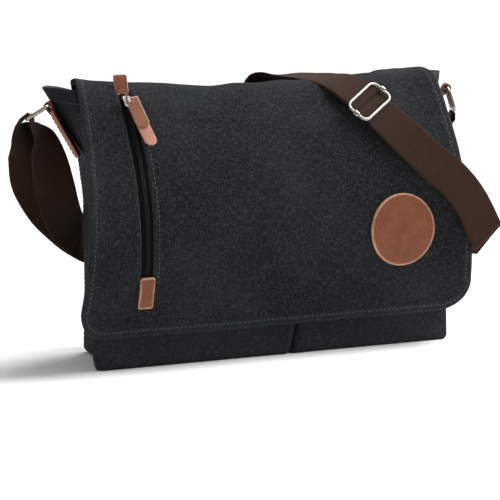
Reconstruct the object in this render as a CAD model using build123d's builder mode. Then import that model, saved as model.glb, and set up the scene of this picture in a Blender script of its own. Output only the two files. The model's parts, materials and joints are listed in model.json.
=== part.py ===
"""Canvas messenger bag with a padded camera insert, as separate pieces.

Frame: +Z up, the flap faces -Y, +X to the wearer's left when the flap faces out.
Origin: centre of the base, on the plane the bag stands on. Millimetres.
"""
from build123d import *
import os
from math import asin, cos, degrees, radians, sin, sqrt

os.makedirs("parts", exist_ok=True)

# ---------------------------------------------------------------- driving dimensions
# The flap's front hangs on an arc about an axis parallel to X.
ARC_R = 212.0            # outer face of the hanging flap
ARC_Y = 126.0
ARC_Z = 112.0
HEM_Z = 30.0             # bottom edge of the flap
FOLD_Z = 250.0           # top end of the hanging part
HEM_HALF = 208.0         # half width of the flap at its hem
TOP_HALF = 188.5         # half width of the flap on top
HEM_CORNER = 26.0
CANVAS = 2.0
FLAP_T = 5.0             # canvas, zip pocket and lining together
CLOSE_GAP = 4.2          # room for the magnetic snaps behind the flap

TOP_Z = 257.0            # outer face of the flap's top
TOP_FRONT_Y = -30.0
TOP_BACK_Y = 34.0
SKIN = 1.2               # lining cloth
TRIM = 6.0               # sheets are cut from stock this much larger

RIM_Z = 247.0            # mouth of the shell
WALL = 2.5               # canvas panel with its interlining
FLOOR_T = 3.0
POCKET_TOP = 150.0
POCKET_DEPTH = 14.0      # front pocket, front to back
BASE_FRONT_Y = -64.0

LEVELS = [FLOOR_T, 30.0, 75.0, 115.0, POCKET_TOP, 190.0, 222.0, RIM_Z]
FRONT_HALF = [182.0, 183.0, 184.0, 185.0, 185.0, 185.0, 186.0, 187.0]
BACK_HALF = [153.0, 152.0, 151.0, 151.0, 152.0, 158.0, 168.0, 180.0]
PINCH_HALF = [158.0, 156.0, 154.0, 154.0, 155.0, 163.0, 181.0, 203.0]
RIGHT_FLARE = [0.0, 0.0, 0.0, 0.0, 0.0, 2.0, 5.0, 9.0]   # the strap pulls the right ear out
BACK_Y = [40.0, 40.5, 41.0, 41.0, 41.0, 40.5, 40.0, 39.0]
PANEL_INSET = [POCKET_DEPTH] * 5 + [8.0, 2.0, 0.5]
PINCH_Y = -5.0

INSERT_HALF = 142.0
INSERT_FRONT_Y = -42.0
INSERT_BACK_Y = 33.0
INSERT_BOTTOM_Z = 7.5
INSERT_TOP_Z = 146.0
PAD = 9.0
PAD_FLOOR = 8.0
DIVIDER_T = 8.0
DIVIDER_X = 45.0
DIVIDER_TOP_Z = 138.0

ZIP_X = -142.5
ZIP_SLOT = 13.0
ZIP_BOTTOM_Z = 82.0
SLIDER_ANGLE = 37.7      # where the closed slider sits on the arc, above its centre
PATCH_R = 34.4
PATCH_X = 124.0
PATCH_Z = 114.0
LEATHER = 2.0

WEB_W = 38.0             # strap webbing
WEB_T = 1.8
WIRE_R = 1.8             # strap ring wire
RING_GAP = 22.0          # ring, bar centre to bar centre
RING_BAR = 44.0          # ring bar length, centre to centre of its side wires


def arc_y(z, radius=ARC_R):
    """Y of the flap's arc of the given radius at height z."""
    return ARC_Y - sqrt(radius ** 2 - (z - ARC_Z) ** 2)


def body_front_y(z):
    """Outer face of the pockets and of the shell's front."""
    if z < HEM_Z:
        return BASE_FRONT_Y
    return arc_y(z) + FLAP_T + CLOSE_GAP


def save(part, name):
    part.label = name
    export_step(part, f"parts/{name}.step")


# ---------------------------------------------------------------- sheets and lofts
def plan_loft(levels, outlines):
    """A solid whose plan outline is given at each level."""
    with BuildPart() as solid:
        for z, outline in zip(levels, outlines):
            with BuildSketch(Plane.XY.offset(z)):
                with BuildLine():
                    Polyline(*outline, close=True)
                make_face()
        loft(ruled=True)
    return solid.part


def strip(near_y, far_y, left, right):
    return [(left, near_y), (right, near_y), (right, far_y), (left, far_y)]


def arc_sheet(outer_r, inner_r, low_z, high_z, half_x):
    """A sheet between two radii of the flap's arc, before it is trimmed."""
    with BuildPart() as sheet:
        with BuildSketch(Plane.YZ):
            with Locations((ARC_Y, ARC_Z)):
                Circle(outer_r)
                Circle(inner_r, mode=Mode.SUBTRACT)
            with Locations((ARC_Y - ARC_R, (low_z + high_z) / 2)):
                Rectangle(ARC_R, high_z - low_z, mode=Mode.INTERSECT)
        extrude(amount=half_x, both=True)
    return sheet.part


def flap_half(z):
    share = (z - HEM_Z) / (FOLD_Z - HEM_Z)
    return HEM_HALF + (TOP_HALF - HEM_HALF) * share


def flap_front_layer(outer_r, inner_r, inset):
    """One layer of the hanging flap, trimmed to its rounded outline."""
    with BuildPart() as layer:
        add(arc_sheet(outer_r, inner_r, HEM_Z - TRIM, FOLD_Z + TRIM, HEM_HALF + TRIM))
        with BuildSketch(Plane.XZ):
            with BuildLine():
                Polyline(
                    (-HEM_HALF + inset, HEM_Z + inset),
                    (HEM_HALF - inset, HEM_Z + inset),
                    (TOP_HALF - inset, FOLD_Z),
                    (-TOP_HALF + inset, FOLD_Z),
                    close=True,
                )
            outline = make_face()
            fillet(outline.vertices().group_by(Axis.Y)[0], HEM_CORNER - inset)
        extrude(amount=2 * ARC_R, both=True, mode=Mode.INTERSECT)
    return layer.part


def on_arc(outer_r, inner_r, left, right, low_z, high_z):
    """A small rectangular sheet lying on the flap's arc."""
    with BuildPart() as piece:
        add(arc_sheet(outer_r, inner_r, low_z - TRIM, high_z + TRIM, HEM_HALF + TRIM))
        with BuildSketch(Plane.XZ):
            with Locations(((left + right) / 2, (low_z + high_z) / 2)):
                Rectangle(right - left, high_z - low_z)
        extrude(amount=2 * ARC_R, both=True, mode=Mode.INTERSECT)
    return piece.part


# ---------------------------------------------------------------- shell panels
panel_front = [body_front_y(z) + inset for z, inset in zip(LEVELS, PANEL_INSET)]

front_outlines = [strip(y, y + WALL, -half, half) for y, half in zip(panel_front, FRONT_HALF)]
save(plan_loft(LEVELS, front_outlines), "front_panel")

back_outlines = [strip(y - WALL, y, -half, half) for y, half in zip(BACK_Y, BACK_HALF)]
save(plan_loft(LEVELS, back_outlines), "back_panel")


def gusset_outlines(side):
    """Plan outlines of one gusset, which tucks in between the panels and flares at the mouth."""
    outlines = []
    flares = RIGHT_FLARE if side > 0 else [0.0] * len(LEVELS)
    for front_y, back_y, front, back, mouth, flare in zip(
        panel_front, BACK_Y, FRONT_HALF, BACK_HALF, PINCH_HALF, flares
    ):
        start_y = front_y + WALL + 0.1
        end_y = back_y - WALL - 0.1
        pinch = mouth + flare
        outlines.append([
            (side * front, start_y),
            (side * pinch, PINCH_Y),
            (side * back, end_y),
            (side * (back - WALL), end_y),
            (side * (pinch - WALL), PINCH_Y),
            (side * (front - WALL), start_y),
        ])
    return outlines


save(plan_loft(LEVELS, gusset_outlines(-1)), "left_gusset")
save(plan_loft(LEVELS, gusset_outlines(1)), "right_gusset")

with BuildPart() as bottom_panel:
    with BuildSketch():
        with BuildLine():
            Polyline(
                (-FRONT_HALF[0], BASE_FRONT_Y),
                (FRONT_HALF[0], BASE_FRONT_Y),
                (PINCH_HALF[0], PINCH_Y),
                (BACK_HALF[0], BACK_Y[0]),
                (-BACK_HALF[0], BACK_Y[0]),
                (-PINCH_HALF[0], PINCH_Y),
                close=True,
            )
        make_face()
    extrude(amount=FLOOR_T)
save(bottom_panel.part, "bottom_panel")

lining_gap = WALL + 0.4
lining_levels = [FLOOR_T + 0.2] + LEVELS[1:-1] + [RIM_Z - 2.0]


def lining_outline(index, grow):
    """Plan outline inside the panels, pulled in by grow."""
    front_y = panel_front[index] + lining_gap + grow
    back_y = BACK_Y[index] - lining_gap - grow
    front = FRONT_HALF[index] - 2 * lining_gap - grow
    pinch = PINCH_HALF[index] - 2 * lining_gap - grow
    back = BACK_HALF[index] - 2 * lining_gap - grow
    return [
        (-front, front_y), (front, front_y), (pinch, PINCH_Y),
        (back, back_y), (-back, back_y), (-pinch, PINCH_Y),
    ]


outside = plan_loft(lining_levels, [lining_outline(i, 0) for i in range(len(LEVELS))])
inside = plan_loft(lining_levels, [lining_outline(i, SKIN) for i in range(len(LEVELS))])
with BuildPart() as lining:
    add(outside)
    add(inside, mode=Mode.SUBTRACT)
save(lining.part, "lining")

board_half = BACK_HALF[0] - 8.0
with BuildPart() as base_board:
    with BuildSketch(Plane.XY.offset(FLOOR_T + 0.3)):
        with Locations((0, (INSERT_FRONT_Y + INSERT_BACK_Y) / 2)):
            RectangleRounded(2 * board_half, INSERT_BACK_Y - INSERT_FRONT_Y - 2, 8)
    extrude(amount=2.4)
save(base_board.part, "base_board")

# ---------------------------------------------------------------- front pockets
pocket_levels = LEVELS[:5]
seam_x = 22.0            # the pockets meet beside the middle
pocket_edges = {"front_pocket_left": (-1, seam_x - 0.2), "front_pocket_right": (1, seam_x + 0.2)}
for name, (side, seam) in pocket_edges.items():
    outlines = []
    for z, half in zip(pocket_levels, FRONT_HALF):
        y = body_front_y(z)
        outer = side * half
        outlines.append(strip(y, y + CANVAS, min(outer, seam), max(outer, seam)))
    save(plan_loft(pocket_levels, outlines), name)

# Narrow walls close the pockets at their seam and at their outer ends.
for name, centre_x in (("pocket_divider", seam_x), ("pocket_end_left", -179.0), ("pocket_end_right", 179.0)):
    outlines = []
    for z in pocket_levels:
        y = body_front_y(z) + CANVAS + 0.2
        outlines.append(strip(y, y + POCKET_DEPTH - CANVAS - 0.4, centre_x - 1, centre_x + 1))
    save(plan_loft(pocket_levels, outlines), name)

# ---------------------------------------------------------------- magnetic snaps
SNAP_X = 92.0
SNAP_Z = 66.0
snap_slope = degrees(asin((SNAP_Z - ARC_Z) / ARC_R))


def snap_discs(radius, depth, face_r):
    """Two discs square to the flap's arc, their outer faces at radius face_r."""
    with BuildPart() as discs:
        for x in (-SNAP_X, SNAP_X):
            y = ARC_Y - face_r * cos(radians(snap_slope))
            z = ARC_Z + face_r * sin(radians(snap_slope))
            inward = (0, cos(radians(snap_slope)), -sin(radians(snap_slope)))
            with BuildSketch(Plane(origin=(x, y, z), x_dir=(1, 0, 0), z_dir=inward)):
                Circle(radius)
            extrude(amount=depth)
    return discs.part


save(snap_discs(9.0, 1.5, ARC_R - FLAP_T - 0.2), "snap_studs")
save(snap_discs(9.0, 1.0, ARC_R - FLAP_T - 2.4), "snap_sockets")

# ---------------------------------------------------------------- padded insert
insert_mid_y = (INSERT_FRONT_Y + INSERT_BACK_Y) / 2
insert_depth = INSERT_BACK_Y - INSERT_FRONT_Y
wall_z = INSERT_BOTTOM_Z + PAD_FLOOR + 0.2


def pad(name, width, depth, centre, low_z, high_z):
    """An upright or flat foam pad with softened edges."""
    with BuildPart() as block:
        with BuildSketch(Plane.XY.offset(low_z)):
            with Locations(centre):
                Rectangle(width, depth)
        extrude(amount=high_z - low_z)
        fillet(block.edges(), 2.5)
    save(block.part, name)


inner_half = INSERT_HALF - PAD
pad("insert_floor", 2 * INSERT_HALF, insert_depth, (0, insert_mid_y), INSERT_BOTTOM_Z, wall_z - 0.2)
pad("insert_front_wall", 2 * INSERT_HALF, PAD, (0, INSERT_FRONT_Y + PAD / 2), wall_z, INSERT_TOP_Z)
pad("insert_back_wall", 2 * INSERT_HALF, PAD, (0, INSERT_BACK_Y - PAD / 2), wall_z, INSERT_TOP_Z)
end_depth = insert_depth - 2 * PAD - 0.4
for name, side in (("insert_left_wall", -1), ("insert_right_wall", 1)):
    pad(name, PAD, end_depth, (side * (INSERT_HALF - PAD / 2), insert_mid_y), wall_z, INSERT_TOP_Z)
for name, side in (("divider_left", -1), ("divider_right", 1)):
    pad(name, DIVIDER_T, end_depth - 0.6, (side * DIVIDER_X, insert_mid_y), wall_z + 0.4, DIVIDER_TOP_Z)

# ---------------------------------------------------------------- flap
slot_left = ZIP_X - ZIP_SLOT / 2
slot_right = ZIP_X + ZIP_SLOT / 2
with BuildPart() as flap_front_canvas:
    add(flap_front_layer(ARC_R, ARC_R - CANVAS, 0))
    with BuildSketch(Plane.XZ):
        with Locations((ZIP_X, (ZIP_BOTTOM_Z + FOLD_Z) / 2 + 1)):
            Rectangle(ZIP_SLOT, FOLD_Z - ZIP_BOTTOM_Z + 2)
    extrude(amount=2 * ARC_R, both=True, mode=Mode.SUBTRACT)
save(flap_front_canvas.part, "flap_front_canvas")
save(flap_front_layer(ARC_R - FLAP_T + SKIN, ARC_R - FLAP_T, 1.0), "flap_front_lining")

pocket_r = ARC_R - CANVAS - 0.3
save(on_arc(pocket_r, pocket_r - 1.0, -190, 30, 62, 236), "zip_pocket")

tape_r = ARC_R - 0.3
save(on_arc(tape_r, tape_r - 1.2, slot_left + 0.2, slot_right - 0.2, ZIP_BOTTOM_Z + 0.5, FOLD_Z - 0.5), "zip_tape")
save(on_arc(tape_r + 1.3, tape_r + 0.1, ZIP_X - 2.2, ZIP_X + 2.2, ZIP_BOTTOM_Z + 4, FOLD_Z - 8), "zip_coil")
tab_r = ARC_R + 0.1 + LEATHER
save(on_arc(tab_r, ARC_R + 0.1, ZIP_X - 7.4, ZIP_X + 7.4, ZIP_BOTTOM_Z - 25, ZIP_BOTTOM_Z + 3), "zip_tab_bottom")
save(on_arc(tab_r, ARC_R + 0.1, ZIP_X - 7.0, ZIP_X + 7.0, FOLD_Z - 2.0, FOLD_Z + 5), "zip_tab_top")

with BuildPart() as leather_patch:
    add(arc_sheet(ARC_R + 0.1 + LEATHER, ARC_R + 0.1, PATCH_Z - PATCH_R - TRIM, PATCH_Z + PATCH_R + TRIM, HEM_HALF))
    with BuildSketch(Plane.XZ):
        with Locations((PATCH_X, PATCH_Z)):
            Circle(PATCH_R)
    extrude(amount=2 * ARC_R, both=True, mode=Mode.INTERSECT)
save(leather_patch.part, "leather_patch")

top_layers = {"flap_top_canvas": (TOP_Z - CANVAS, TOP_Z), "flap_top_lining": (TOP_Z - FLAP_T, TOP_Z - FLAP_T + SKIN)}
for name, (low_z, high_z) in top_layers.items():
    with BuildPart() as layer:
        with BuildSketch(Plane.XY.offset(low_z)):
            with Locations((0, (TOP_FRONT_Y + TOP_BACK_Y) / 2)):
                Rectangle(2 * TOP_HALF, TOP_BACK_Y - TOP_FRONT_Y)
        extrude(amount=high_z - low_z)
    save(layer.part, name)

# ---------------------------------------------------------------- zip slider and pull
slider_y = ARC_Y - cos(radians(SLIDER_ANGLE)) * (ARC_R + 1.6)
slider_z = ARC_Z + sin(radians(SLIDER_ANGLE)) * (ARC_R + 1.6)
out_y = -cos(radians(SLIDER_ANGLE))
out_z = sin(radians(SLIDER_ANGLE))
down = Vector(0, -sin(radians(SLIDER_ANGLE)), -cos(radians(SLIDER_ANGLE)))
outward = Vector(0, out_y, out_z)
slider_at = Vector(ZIP_X, slider_y, slider_z)

slider_plane = Plane(origin=slider_at, x_dir=down, z_dir=outward)
with BuildPart() as zip_slider:
    with BuildSketch(slider_plane):
        Rectangle(11, 8)
    extrude(amount=2.2)
    fillet(zip_slider.edges().filter_by(lambda e: abs(e.length - 2.2) < 0.1), 2.0)
    with BuildSketch(slider_plane.offset(2.2)):
        Rectangle(7, 2.4)
    extrude(amount=3.4)
    with BuildSketch(Plane(origin=slider_at + outward * 3.7 + Vector(-4, 0, 0), x_dir=down, z_dir=(1, 0, 0))):
        Rectangle(3.8, 2.2)
    extrude(amount=8, mode=Mode.SUBTRACT)
save(zip_slider.part, "zip_slider")

# The pull's ring passes through the slider's bridge.
BAIL_R = 0.8
RING_LONG = 6.5
RING_WIDE = 8.0
bail_at = slider_at + outward * 3.7
ring_plane = Plane(origin=bail_at + down * (RING_LONG / 2), x_dir=down, z_dir=outward)
with BuildPart() as pull_ring:
    with BuildSketch(ring_plane.offset(-BAIL_R)):
        RectangleRounded(RING_LONG + 2 * BAIL_R, RING_WIDE + 2 * BAIL_R, 2.4)
        RectangleRounded(RING_LONG - 2 * BAIL_R, RING_WIDE - 2 * BAIL_R, 1.2, mode=Mode.SUBTRACT)
    extrude(amount=2 * BAIL_R)
save(pull_ring.part, "pull_ring")

# The leather pull hangs tilted towards the middle of the bag.
PULL_W = 13.0
PULL_LONG = 39.0
PULL_SHORT = 21.0
PULL_TILT = 8.0
hang = down.rotate(Axis((0, 0, 0), outward), PULL_TILT)
if hang.X < 0:
    hang = down.rotate(Axis((0, 0, 0), outward), -PULL_TILT)
inward_lean = 4.0
across_pull = hang.cross(outward)
hang = hang.rotate(Axis((0, 0, 0), across_pull), inward_lean)
if hang.dot(outward) > 0:
    hang = hang.rotate(Axis((0, 0, 0), across_pull), -2 * inward_lean)
face_out = across_pull.cross(hang)
if face_out.dot(outward) < 0:
    face_out = face_out * -1
pull_at = bail_at + down * RING_LONG
PULL_START = 5.0         # clear of the ring's lower bar at every angle


def pull_blade(name, length, low, thick):
    """A leather blade that starts under the ring's lower bar and has a round end."""
    plane = Plane(origin=pull_at + hang * PULL_START + face_out * low, x_dir=hang, z_dir=face_out)
    with BuildPart() as blade:
        with BuildSketch(plane):
            with Locations((length / 2, 0)):
                RectangleRounded(length, PULL_W, PULL_W * 0.3)
        extrude(amount=thick)
    save(blade.part, name)


pull_blade("pull_backing", PULL_LONG, -1.9, 1.4)
pull_blade("pull_leather", PULL_SHORT, -0.4, 1.6)

# ---------------------------------------------------------------- strap rings and chapes
CHAPE_W = 34.0
CHAPE_T = 4.2            # leather folded double
EYE_R = 4.2
RING_BEND = 4.0


class RingFrame:
    """Where a strap ring hangs: its inner bar, the way its bars run and the way it reaches out."""

    def __init__(self, bar_at, bar_dir, reach, foot):
        self.bar_at = Vector(*bar_at)
        self.bar_dir = Vector(*bar_dir).normalized()
        reach = Vector(*reach)
        self.reach = (reach - self.bar_dir * reach.dot(self.bar_dir)).normalized()
        self.foot = Vector(*foot)
        self.outer_bar = self.bar_at + self.reach * RING_GAP


ring_frames = {
    "left": RingFrame((-202, -3, 239), (0.46, 0.88, -0.05), (-0.80, 0.29, -0.52), (-169, -5, 186)),
    "right": RingFrame((222, -3, 238), (0.46, 0.88, -0.05), (0.29, -0.10, -0.957), (171, -3, 189)),
}
for side, frame in ring_frames.items():
    middle = frame.bar_at + frame.reach * (RING_GAP / 2)
    half_gap = RING_GAP / 2
    half_bar = RING_BAR / 2
    with BuildPart() as ring:
        with BuildLine(Plane(origin=middle, x_dir=frame.reach, z_dir=frame.reach.cross(frame.bar_dir))) as loop:
            FilletPolyline(
                (half_gap, -half_bar), (half_gap, half_bar), (-half_gap, half_bar), (-half_gap, -half_bar),
                radius=RING_BEND,
                close=True,
            )
        with BuildSketch(Plane(origin=loop.line @ 0, z_dir=loop.line % 0)):
            Circle(WIRE_R)
        sweep()
    save(ring.part, f"{side}_ring")

    along = frame.foot - frame.bar_at
    along = along - frame.bar_dir * along.dot(frame.bar_dir)
    length = along.length
    with BuildPart() as chape:
        with BuildSketch(Plane(origin=frame.bar_at, x_dir=along, z_dir=frame.bar_dir)):
            Circle(EYE_R)
            with Locations((length / 2, 0)):
                Rectangle(length, CHAPE_T)
            Circle(WIRE_R + 0.12, mode=Mode.SUBTRACT)
        extrude(amount=CHAPE_W / 2, both=True)
    save(chape.part, f"{side}_chape")

# ---------------------------------------------------------------- strap
def webbing(stations, thickness):
    """Flat webbing through stations, each a centre point and the way the webbing's width runs."""
    centres = [Vector(*centre) for centre, _ in stations]
    with BuildPart() as band:
        for index, (centre, across) in enumerate(stations):
            before = centres[max(index - 1, 0)]
            after = centres[min(index + 1, len(stations) - 1)]
            along = (after - before).normalized()
            across = Vector(*across)
            across = (across - along * across.dot(along)).normalized()
            with BuildSketch(Plane(origin=centre, x_dir=across, z_dir=along)):
                Rectangle(WEB_W, thickness)
        loft(ruled=True)
    return band.part


DOUBLE_T = 2 * WEB_T + 0.2
left_outer = [
    ((-226, 6, 228), (0.46, 0.88, -0.05)),
    ((-225, 8, 215), (0.74, 0.66, -0.12)),
    ((-219, 13, 197), (0.99, 0.16, -0.03)),
    ((-211, 21, 168), (0.96, -0.12, 0.26)),
    ((-194, 28, 142), (0.82, -0.06, 0.57)),
]
left_inner = [
    ((-214, 2, 219), (0.50, 0.86, -0.05)),
    ((-203, 2, 205), (0.91, 0.40, -0.10)),
    ((-197, 8, 183), (0.99, 0.16, -0.03)),
    ((-189, 15, 158), (0.97, -0.20, 0.12)),
    ((-180, 22, 141), (0.85, -0.20, 0.48)),
]
back_run = [
    ((-173, 34, 125), (0.71, -0.10, 0.68)),
    ((-151, 50.5, 108), (0.60, 0.15, 0.76)),
    ((-126, 58, 96), (0.32, 0.42, 0.85)),
    ((-80, 62, 92), (0, 0.50, 0.87)),
    ((-32, 60, 106), (-0.35, 0.40, 0.85)),
    ((4, 55, 142), (-0.70, 0.25, 0.67)),
    ((26, 49, 190), (-0.90, 0.10, 0.42)),
    ((38, 46, 240), (-0.97, 0, 0.20)),
]
over_top = [
    ((41, 46.2, 249), (0.97, 0, -0.20)),
    ((47, 44, 260), (0.96, 0.15, -0.12)),
    ((60, 30, 264), (0.93, 0.30, 0)),
    ((74, 0, 264.5), (0.90, 0.40, 0.05)),
    ((82, -25, 264), (0.88, 0.36, 0.20)),
    ((89, -40.5, 255), (0.83, 0.30, 0.45)),
    ((94, -48.3, 243.5), (0.82, 0.30, 0.48)),
]
front_start = Vector(103, -57, 229)
front_bend = Vector(156, -84, 178)
front_dir = (front_bend - front_start).normalized()
front_run = [
    (tuple(front_start), (0.82, 0.30, 0.48)),
    (tuple(front_bend), (0.77, 0.10, 0.63)),
    ((178, -91, 158), (0.75, 0.08, 0.66)),
    ((195, -95, 136), (0.73, 0.08, 0.68)),
    ((209, -98, 109), (0.70, 0, 0.71)),
]
right_run = [
    ((217, -90, 101), (0.70, 0, 0.71)),
    ((219, -60, 98), (0.71, 0, 0.70)),
    ((220, -25, 97), (0.60, 0.10, 0.79)),
    ((222, 0, 112), (0.60, -0.55, 0.50)),
    ((227, 8, 145), (0.30, -0.94, 0.10)),
    ((230, 4, 178), (-0.20, -0.97, 0)),
    ((230, -3, 207), (-0.46, -0.88, 0.05)),
]
save(webbing(left_outer, WEB_T), "strap_left_outer")
save(webbing(left_inner, WEB_T), "strap_left_inner")
save(webbing(back_run, DOUBLE_T), "strap_back")
save(webbing(over_top, DOUBLE_T), "strap_over_top")
save(webbing(front_run, WEB_T), "strap_front")
save(webbing(right_run, WEB_T), "strap_right")

# ---------------------------------------------------------------- strap adjuster
ADJUSTER_LONG = 47.0
ADJUSTER_SHORT = 27.0
ADJUSTER_WIRE = 3.4
adjuster_across = Vector(0.82, 0.30, 0.48)
adjuster_across = (adjuster_across - front_dir * adjuster_across.dot(front_dir)).normalized()
adjuster_out = front_dir.cross(adjuster_across).normalized()
if adjuster_out.Y > 0:
    adjuster_out = adjuster_out * -1
adjuster_at = front_start + adjuster_out * (WEB_T / 2 + 1.0)
with BuildPart() as adjuster_frame:
    with BuildSketch(Plane(origin=adjuster_at, x_dir=adjuster_across, z_dir=adjuster_out)):
        RectangleRounded(ADJUSTER_LONG, ADJUSTER_SHORT, 6)
        inner_long = ADJUSTER_LONG - 2 * ADJUSTER_WIRE
        inner_short = ADJUSTER_SHORT - 2 * ADJUSTER_WIRE
        RectangleRounded(inner_long, inner_short, 3, mode=Mode.SUBTRACT)
    extrude(amount=3.0)
save(adjuster_frame.part, "adjuster_frame")

bar_r = 1.3
bar_start = adjuster_at + adjuster_out * 1.5 - adjuster_across * (inner_long / 2)
with BuildPart() as adjuster_bar:
    with BuildSketch(Plane(origin=bar_start, x_dir=front_dir, z_dir=adjuster_across)):
        Circle(bar_r)
    extrude(amount=inner_long)
save(adjuster_bar.part, "adjuster_bar")
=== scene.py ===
"""Looks of the canvas messenger bag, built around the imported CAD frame.

Lengths inside this script are millimetres until a mesh is made; Blender gets metres.
"""

import json
import math

import bpy
import numpy as np
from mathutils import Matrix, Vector, noise


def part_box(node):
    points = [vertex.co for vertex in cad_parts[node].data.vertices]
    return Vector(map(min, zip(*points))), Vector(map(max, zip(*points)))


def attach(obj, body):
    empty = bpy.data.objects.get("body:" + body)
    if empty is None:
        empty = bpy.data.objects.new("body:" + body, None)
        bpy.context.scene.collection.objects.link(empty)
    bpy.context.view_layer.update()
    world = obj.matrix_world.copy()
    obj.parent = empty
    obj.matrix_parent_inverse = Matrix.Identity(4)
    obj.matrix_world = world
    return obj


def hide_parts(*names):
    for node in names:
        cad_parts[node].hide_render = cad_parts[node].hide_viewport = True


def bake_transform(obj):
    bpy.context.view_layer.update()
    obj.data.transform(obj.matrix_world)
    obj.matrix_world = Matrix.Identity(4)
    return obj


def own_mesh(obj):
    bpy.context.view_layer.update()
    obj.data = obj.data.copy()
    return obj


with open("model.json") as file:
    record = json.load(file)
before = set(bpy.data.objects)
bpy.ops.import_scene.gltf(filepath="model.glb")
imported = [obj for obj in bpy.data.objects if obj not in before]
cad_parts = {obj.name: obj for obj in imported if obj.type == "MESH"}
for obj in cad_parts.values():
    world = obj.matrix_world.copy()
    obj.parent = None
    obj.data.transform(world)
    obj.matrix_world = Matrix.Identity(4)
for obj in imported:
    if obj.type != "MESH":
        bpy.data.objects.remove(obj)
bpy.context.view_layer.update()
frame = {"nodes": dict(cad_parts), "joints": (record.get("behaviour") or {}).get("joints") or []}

MM = 0.001
joints = {joint["name"]: joint for joint in frame["joints"]}


def mm(values):
    """Metres from the frame, as a millimetre array."""
    return np.array(values, float) / MM


# ---------------------------------------------------------------- driving dimensions
ARC_Y, ARC_Z = mm(joints["zip_run"]["pos_m"])[1:]
flap_low = mm(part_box("flap_front_canvas")[0])
ARC_R = ARC_Y - flap_low[1]
HEM_Z = flap_low[2]
TOP_Z = mm(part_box("flap_top_canvas")[1])[2]
HEM_HALF = 208.0         # half the flap's width at its hem, at its front fold, near its back and at its back
TOP_HALF = 188.5
TAB_HALF = 160.0
BACK_SEAM_HALF = 158.0
HEM_CORNER = 31.0
FLAP_T = 4.4             # thickness of the hanging front; the top is thinner
FLAP_TOP_T = 2.8
STITCH_INSET = 6.5

# The body's outline at a set of heights: half widths of its front and back faces, the points where its
# sides are drawn in, the place of its back and the depth of the pockets.
LEVELS = np.array([0.0, 30.0, 75.0, 115.0, 150.0, 190.0, 222.0, 235.0, 247.0])
FRONT_HALF = np.array([181.0, 183.0, 184.0, 185.0, 185.0, 185.0, 186.0, 186.5, 187.0])
BACK_HALF = np.array([152.0, 151.5, 150.5, 150.5, 151.5, 157.0, 167.0, 173.0, 179.0])
PINCH_LEFT = np.array([158.0, 156.0, 154.0, 154.0, 155.0, 168.0, 191.5, 202.0, 211.0])
PINCH_RIGHT = np.array([158.0, 156.0, 154.0, 154.0, 155.0, 169.0, 200.0, 211.0, 214.0])
BACK_Y = np.array([39.5, 40.2, 41.0, 41.0, 41.0, 40.5, 40.0, 39.4, 38.8])
POCKET_DEPTH = np.array([14.0, 14.0, 14.0, 14.0, 14.0, 8.0, 2.0, 1.0, 0.5])
BASE_FRONT_Y = -64.0
ROUND_Z = 30.0           # below this height the front runs back to the base
PINCH_Y = -5.0
CLOSE_GAP = 9.2          # flap thickness and the room behind it
RIM_Z = 247.0
SEAM_X = 22.0            # the seam between the two pockets

ZIP_X = -142.5
ZIP_HALF = 6.5
ZIP_BOTTOM = 84.0
ZIP_TOP = 250.0          # where the flap folds over, too
ZIP_SEAM = 11.8          # from the middle of the zip to the stitching beside it
SIDES = {"left": -1, "right": 1}


def arc_y(z):
    """Y of the flap's front at a height; it hangs in an arc."""
    return ARC_Y - np.sqrt(ARC_R ** 2 - (z - ARC_Z) ** 2)


def body_front_y(z):
    """Outer face of the pockets and the shell's front."""
    high = arc_y(np.maximum(z, ROUND_Z)) + CLOSE_GAP
    share = np.clip(z / ROUND_Z, 0, 1)
    return float(np.where(z < ROUND_Z, BASE_FRONT_Y + (high - BASE_FRONT_Y) * share, high))


def smooth_table(z, table):
    """A smooth curve through a table given at LEVELS."""
    slopes = np.gradient(table, LEVELS)
    index = np.clip(np.searchsorted(LEVELS, z) - 1, 0, len(LEVELS) - 2)
    step = LEVELS[index + 1] - LEVELS[index]
    t = (z - LEVELS[index]) / step
    a = (1 + 2 * t) * (1 - t) ** 2
    b = t * (1 - t) ** 2 * step
    c = t * t * (3 - 2 * t)
    d = t * t * (t - 1) * step
    return float(a * table[index] + b * slopes[index] + c * table[index + 1] + d * slopes[index + 1])


# How far the top of the bag has risen along its front, and sunk towards its back, from left to right.
SETTLE_X = [-215, -198, -188, -171, -142, -95, -39, -18, 6, 36, 56, 95, 122, 152, 164, 181, 189, 200, 215]
CREST_LIFT = [9, 9, 7, 5, 2, 0, -5, -3, -5, -4.5, -5, -2, -1, -1, 1, 2.5, 4, 8, 8]
BACK_SLUMP = [0, 0, 0, 1, 7, 9, 9, 9, 9, 9, 9, 8, 7, 5, 4, 2, 0, 0, 0]
SETTLE_FROM_Z = 200.0
SETTLE_OVER_Z = 48.0
SLUMP_FROM_Y = -20.0
SLUMP_OVER_Y = 55.0

fine_x = np.linspace(-230, 230, 461)
kernel = np.exp(-np.linspace(-2, 2, 25) ** 2)
kernel /= kernel.sum()
smooth_lift = np.convolve(np.interp(fine_x, SETTLE_X, CREST_LIFT), kernel, "same")
smooth_slump = np.convolve(np.interp(fine_x, SETTLE_X, BACK_SLUMP), kernel, "same")


def ease(share):
    share = np.clip(share, 0, 1)
    return share * share * (3 - 2 * share)


def settle(points):
    """Lets the top of the bag rise at its corners and sink in the middle and towards the back."""
    points = np.array(points, float)
    x, y, z = points[..., 0], points[..., 1], points[..., 2]
    weight = ease((z - SETTLE_FROM_Z) / SETTLE_OVER_Z)
    lift = np.interp(x, fine_x, smooth_lift)
    slump = np.interp(x, fine_x, smooth_slump) * ease((y - SLUMP_FROM_Y) / SLUMP_OVER_Y)
    points[..., 2] = z + weight * (lift - slump)
    return points


# ---------------------------------------------------------------- mesh helpers
def unit(vector):
    return vector / np.linalg.norm(vector)


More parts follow.
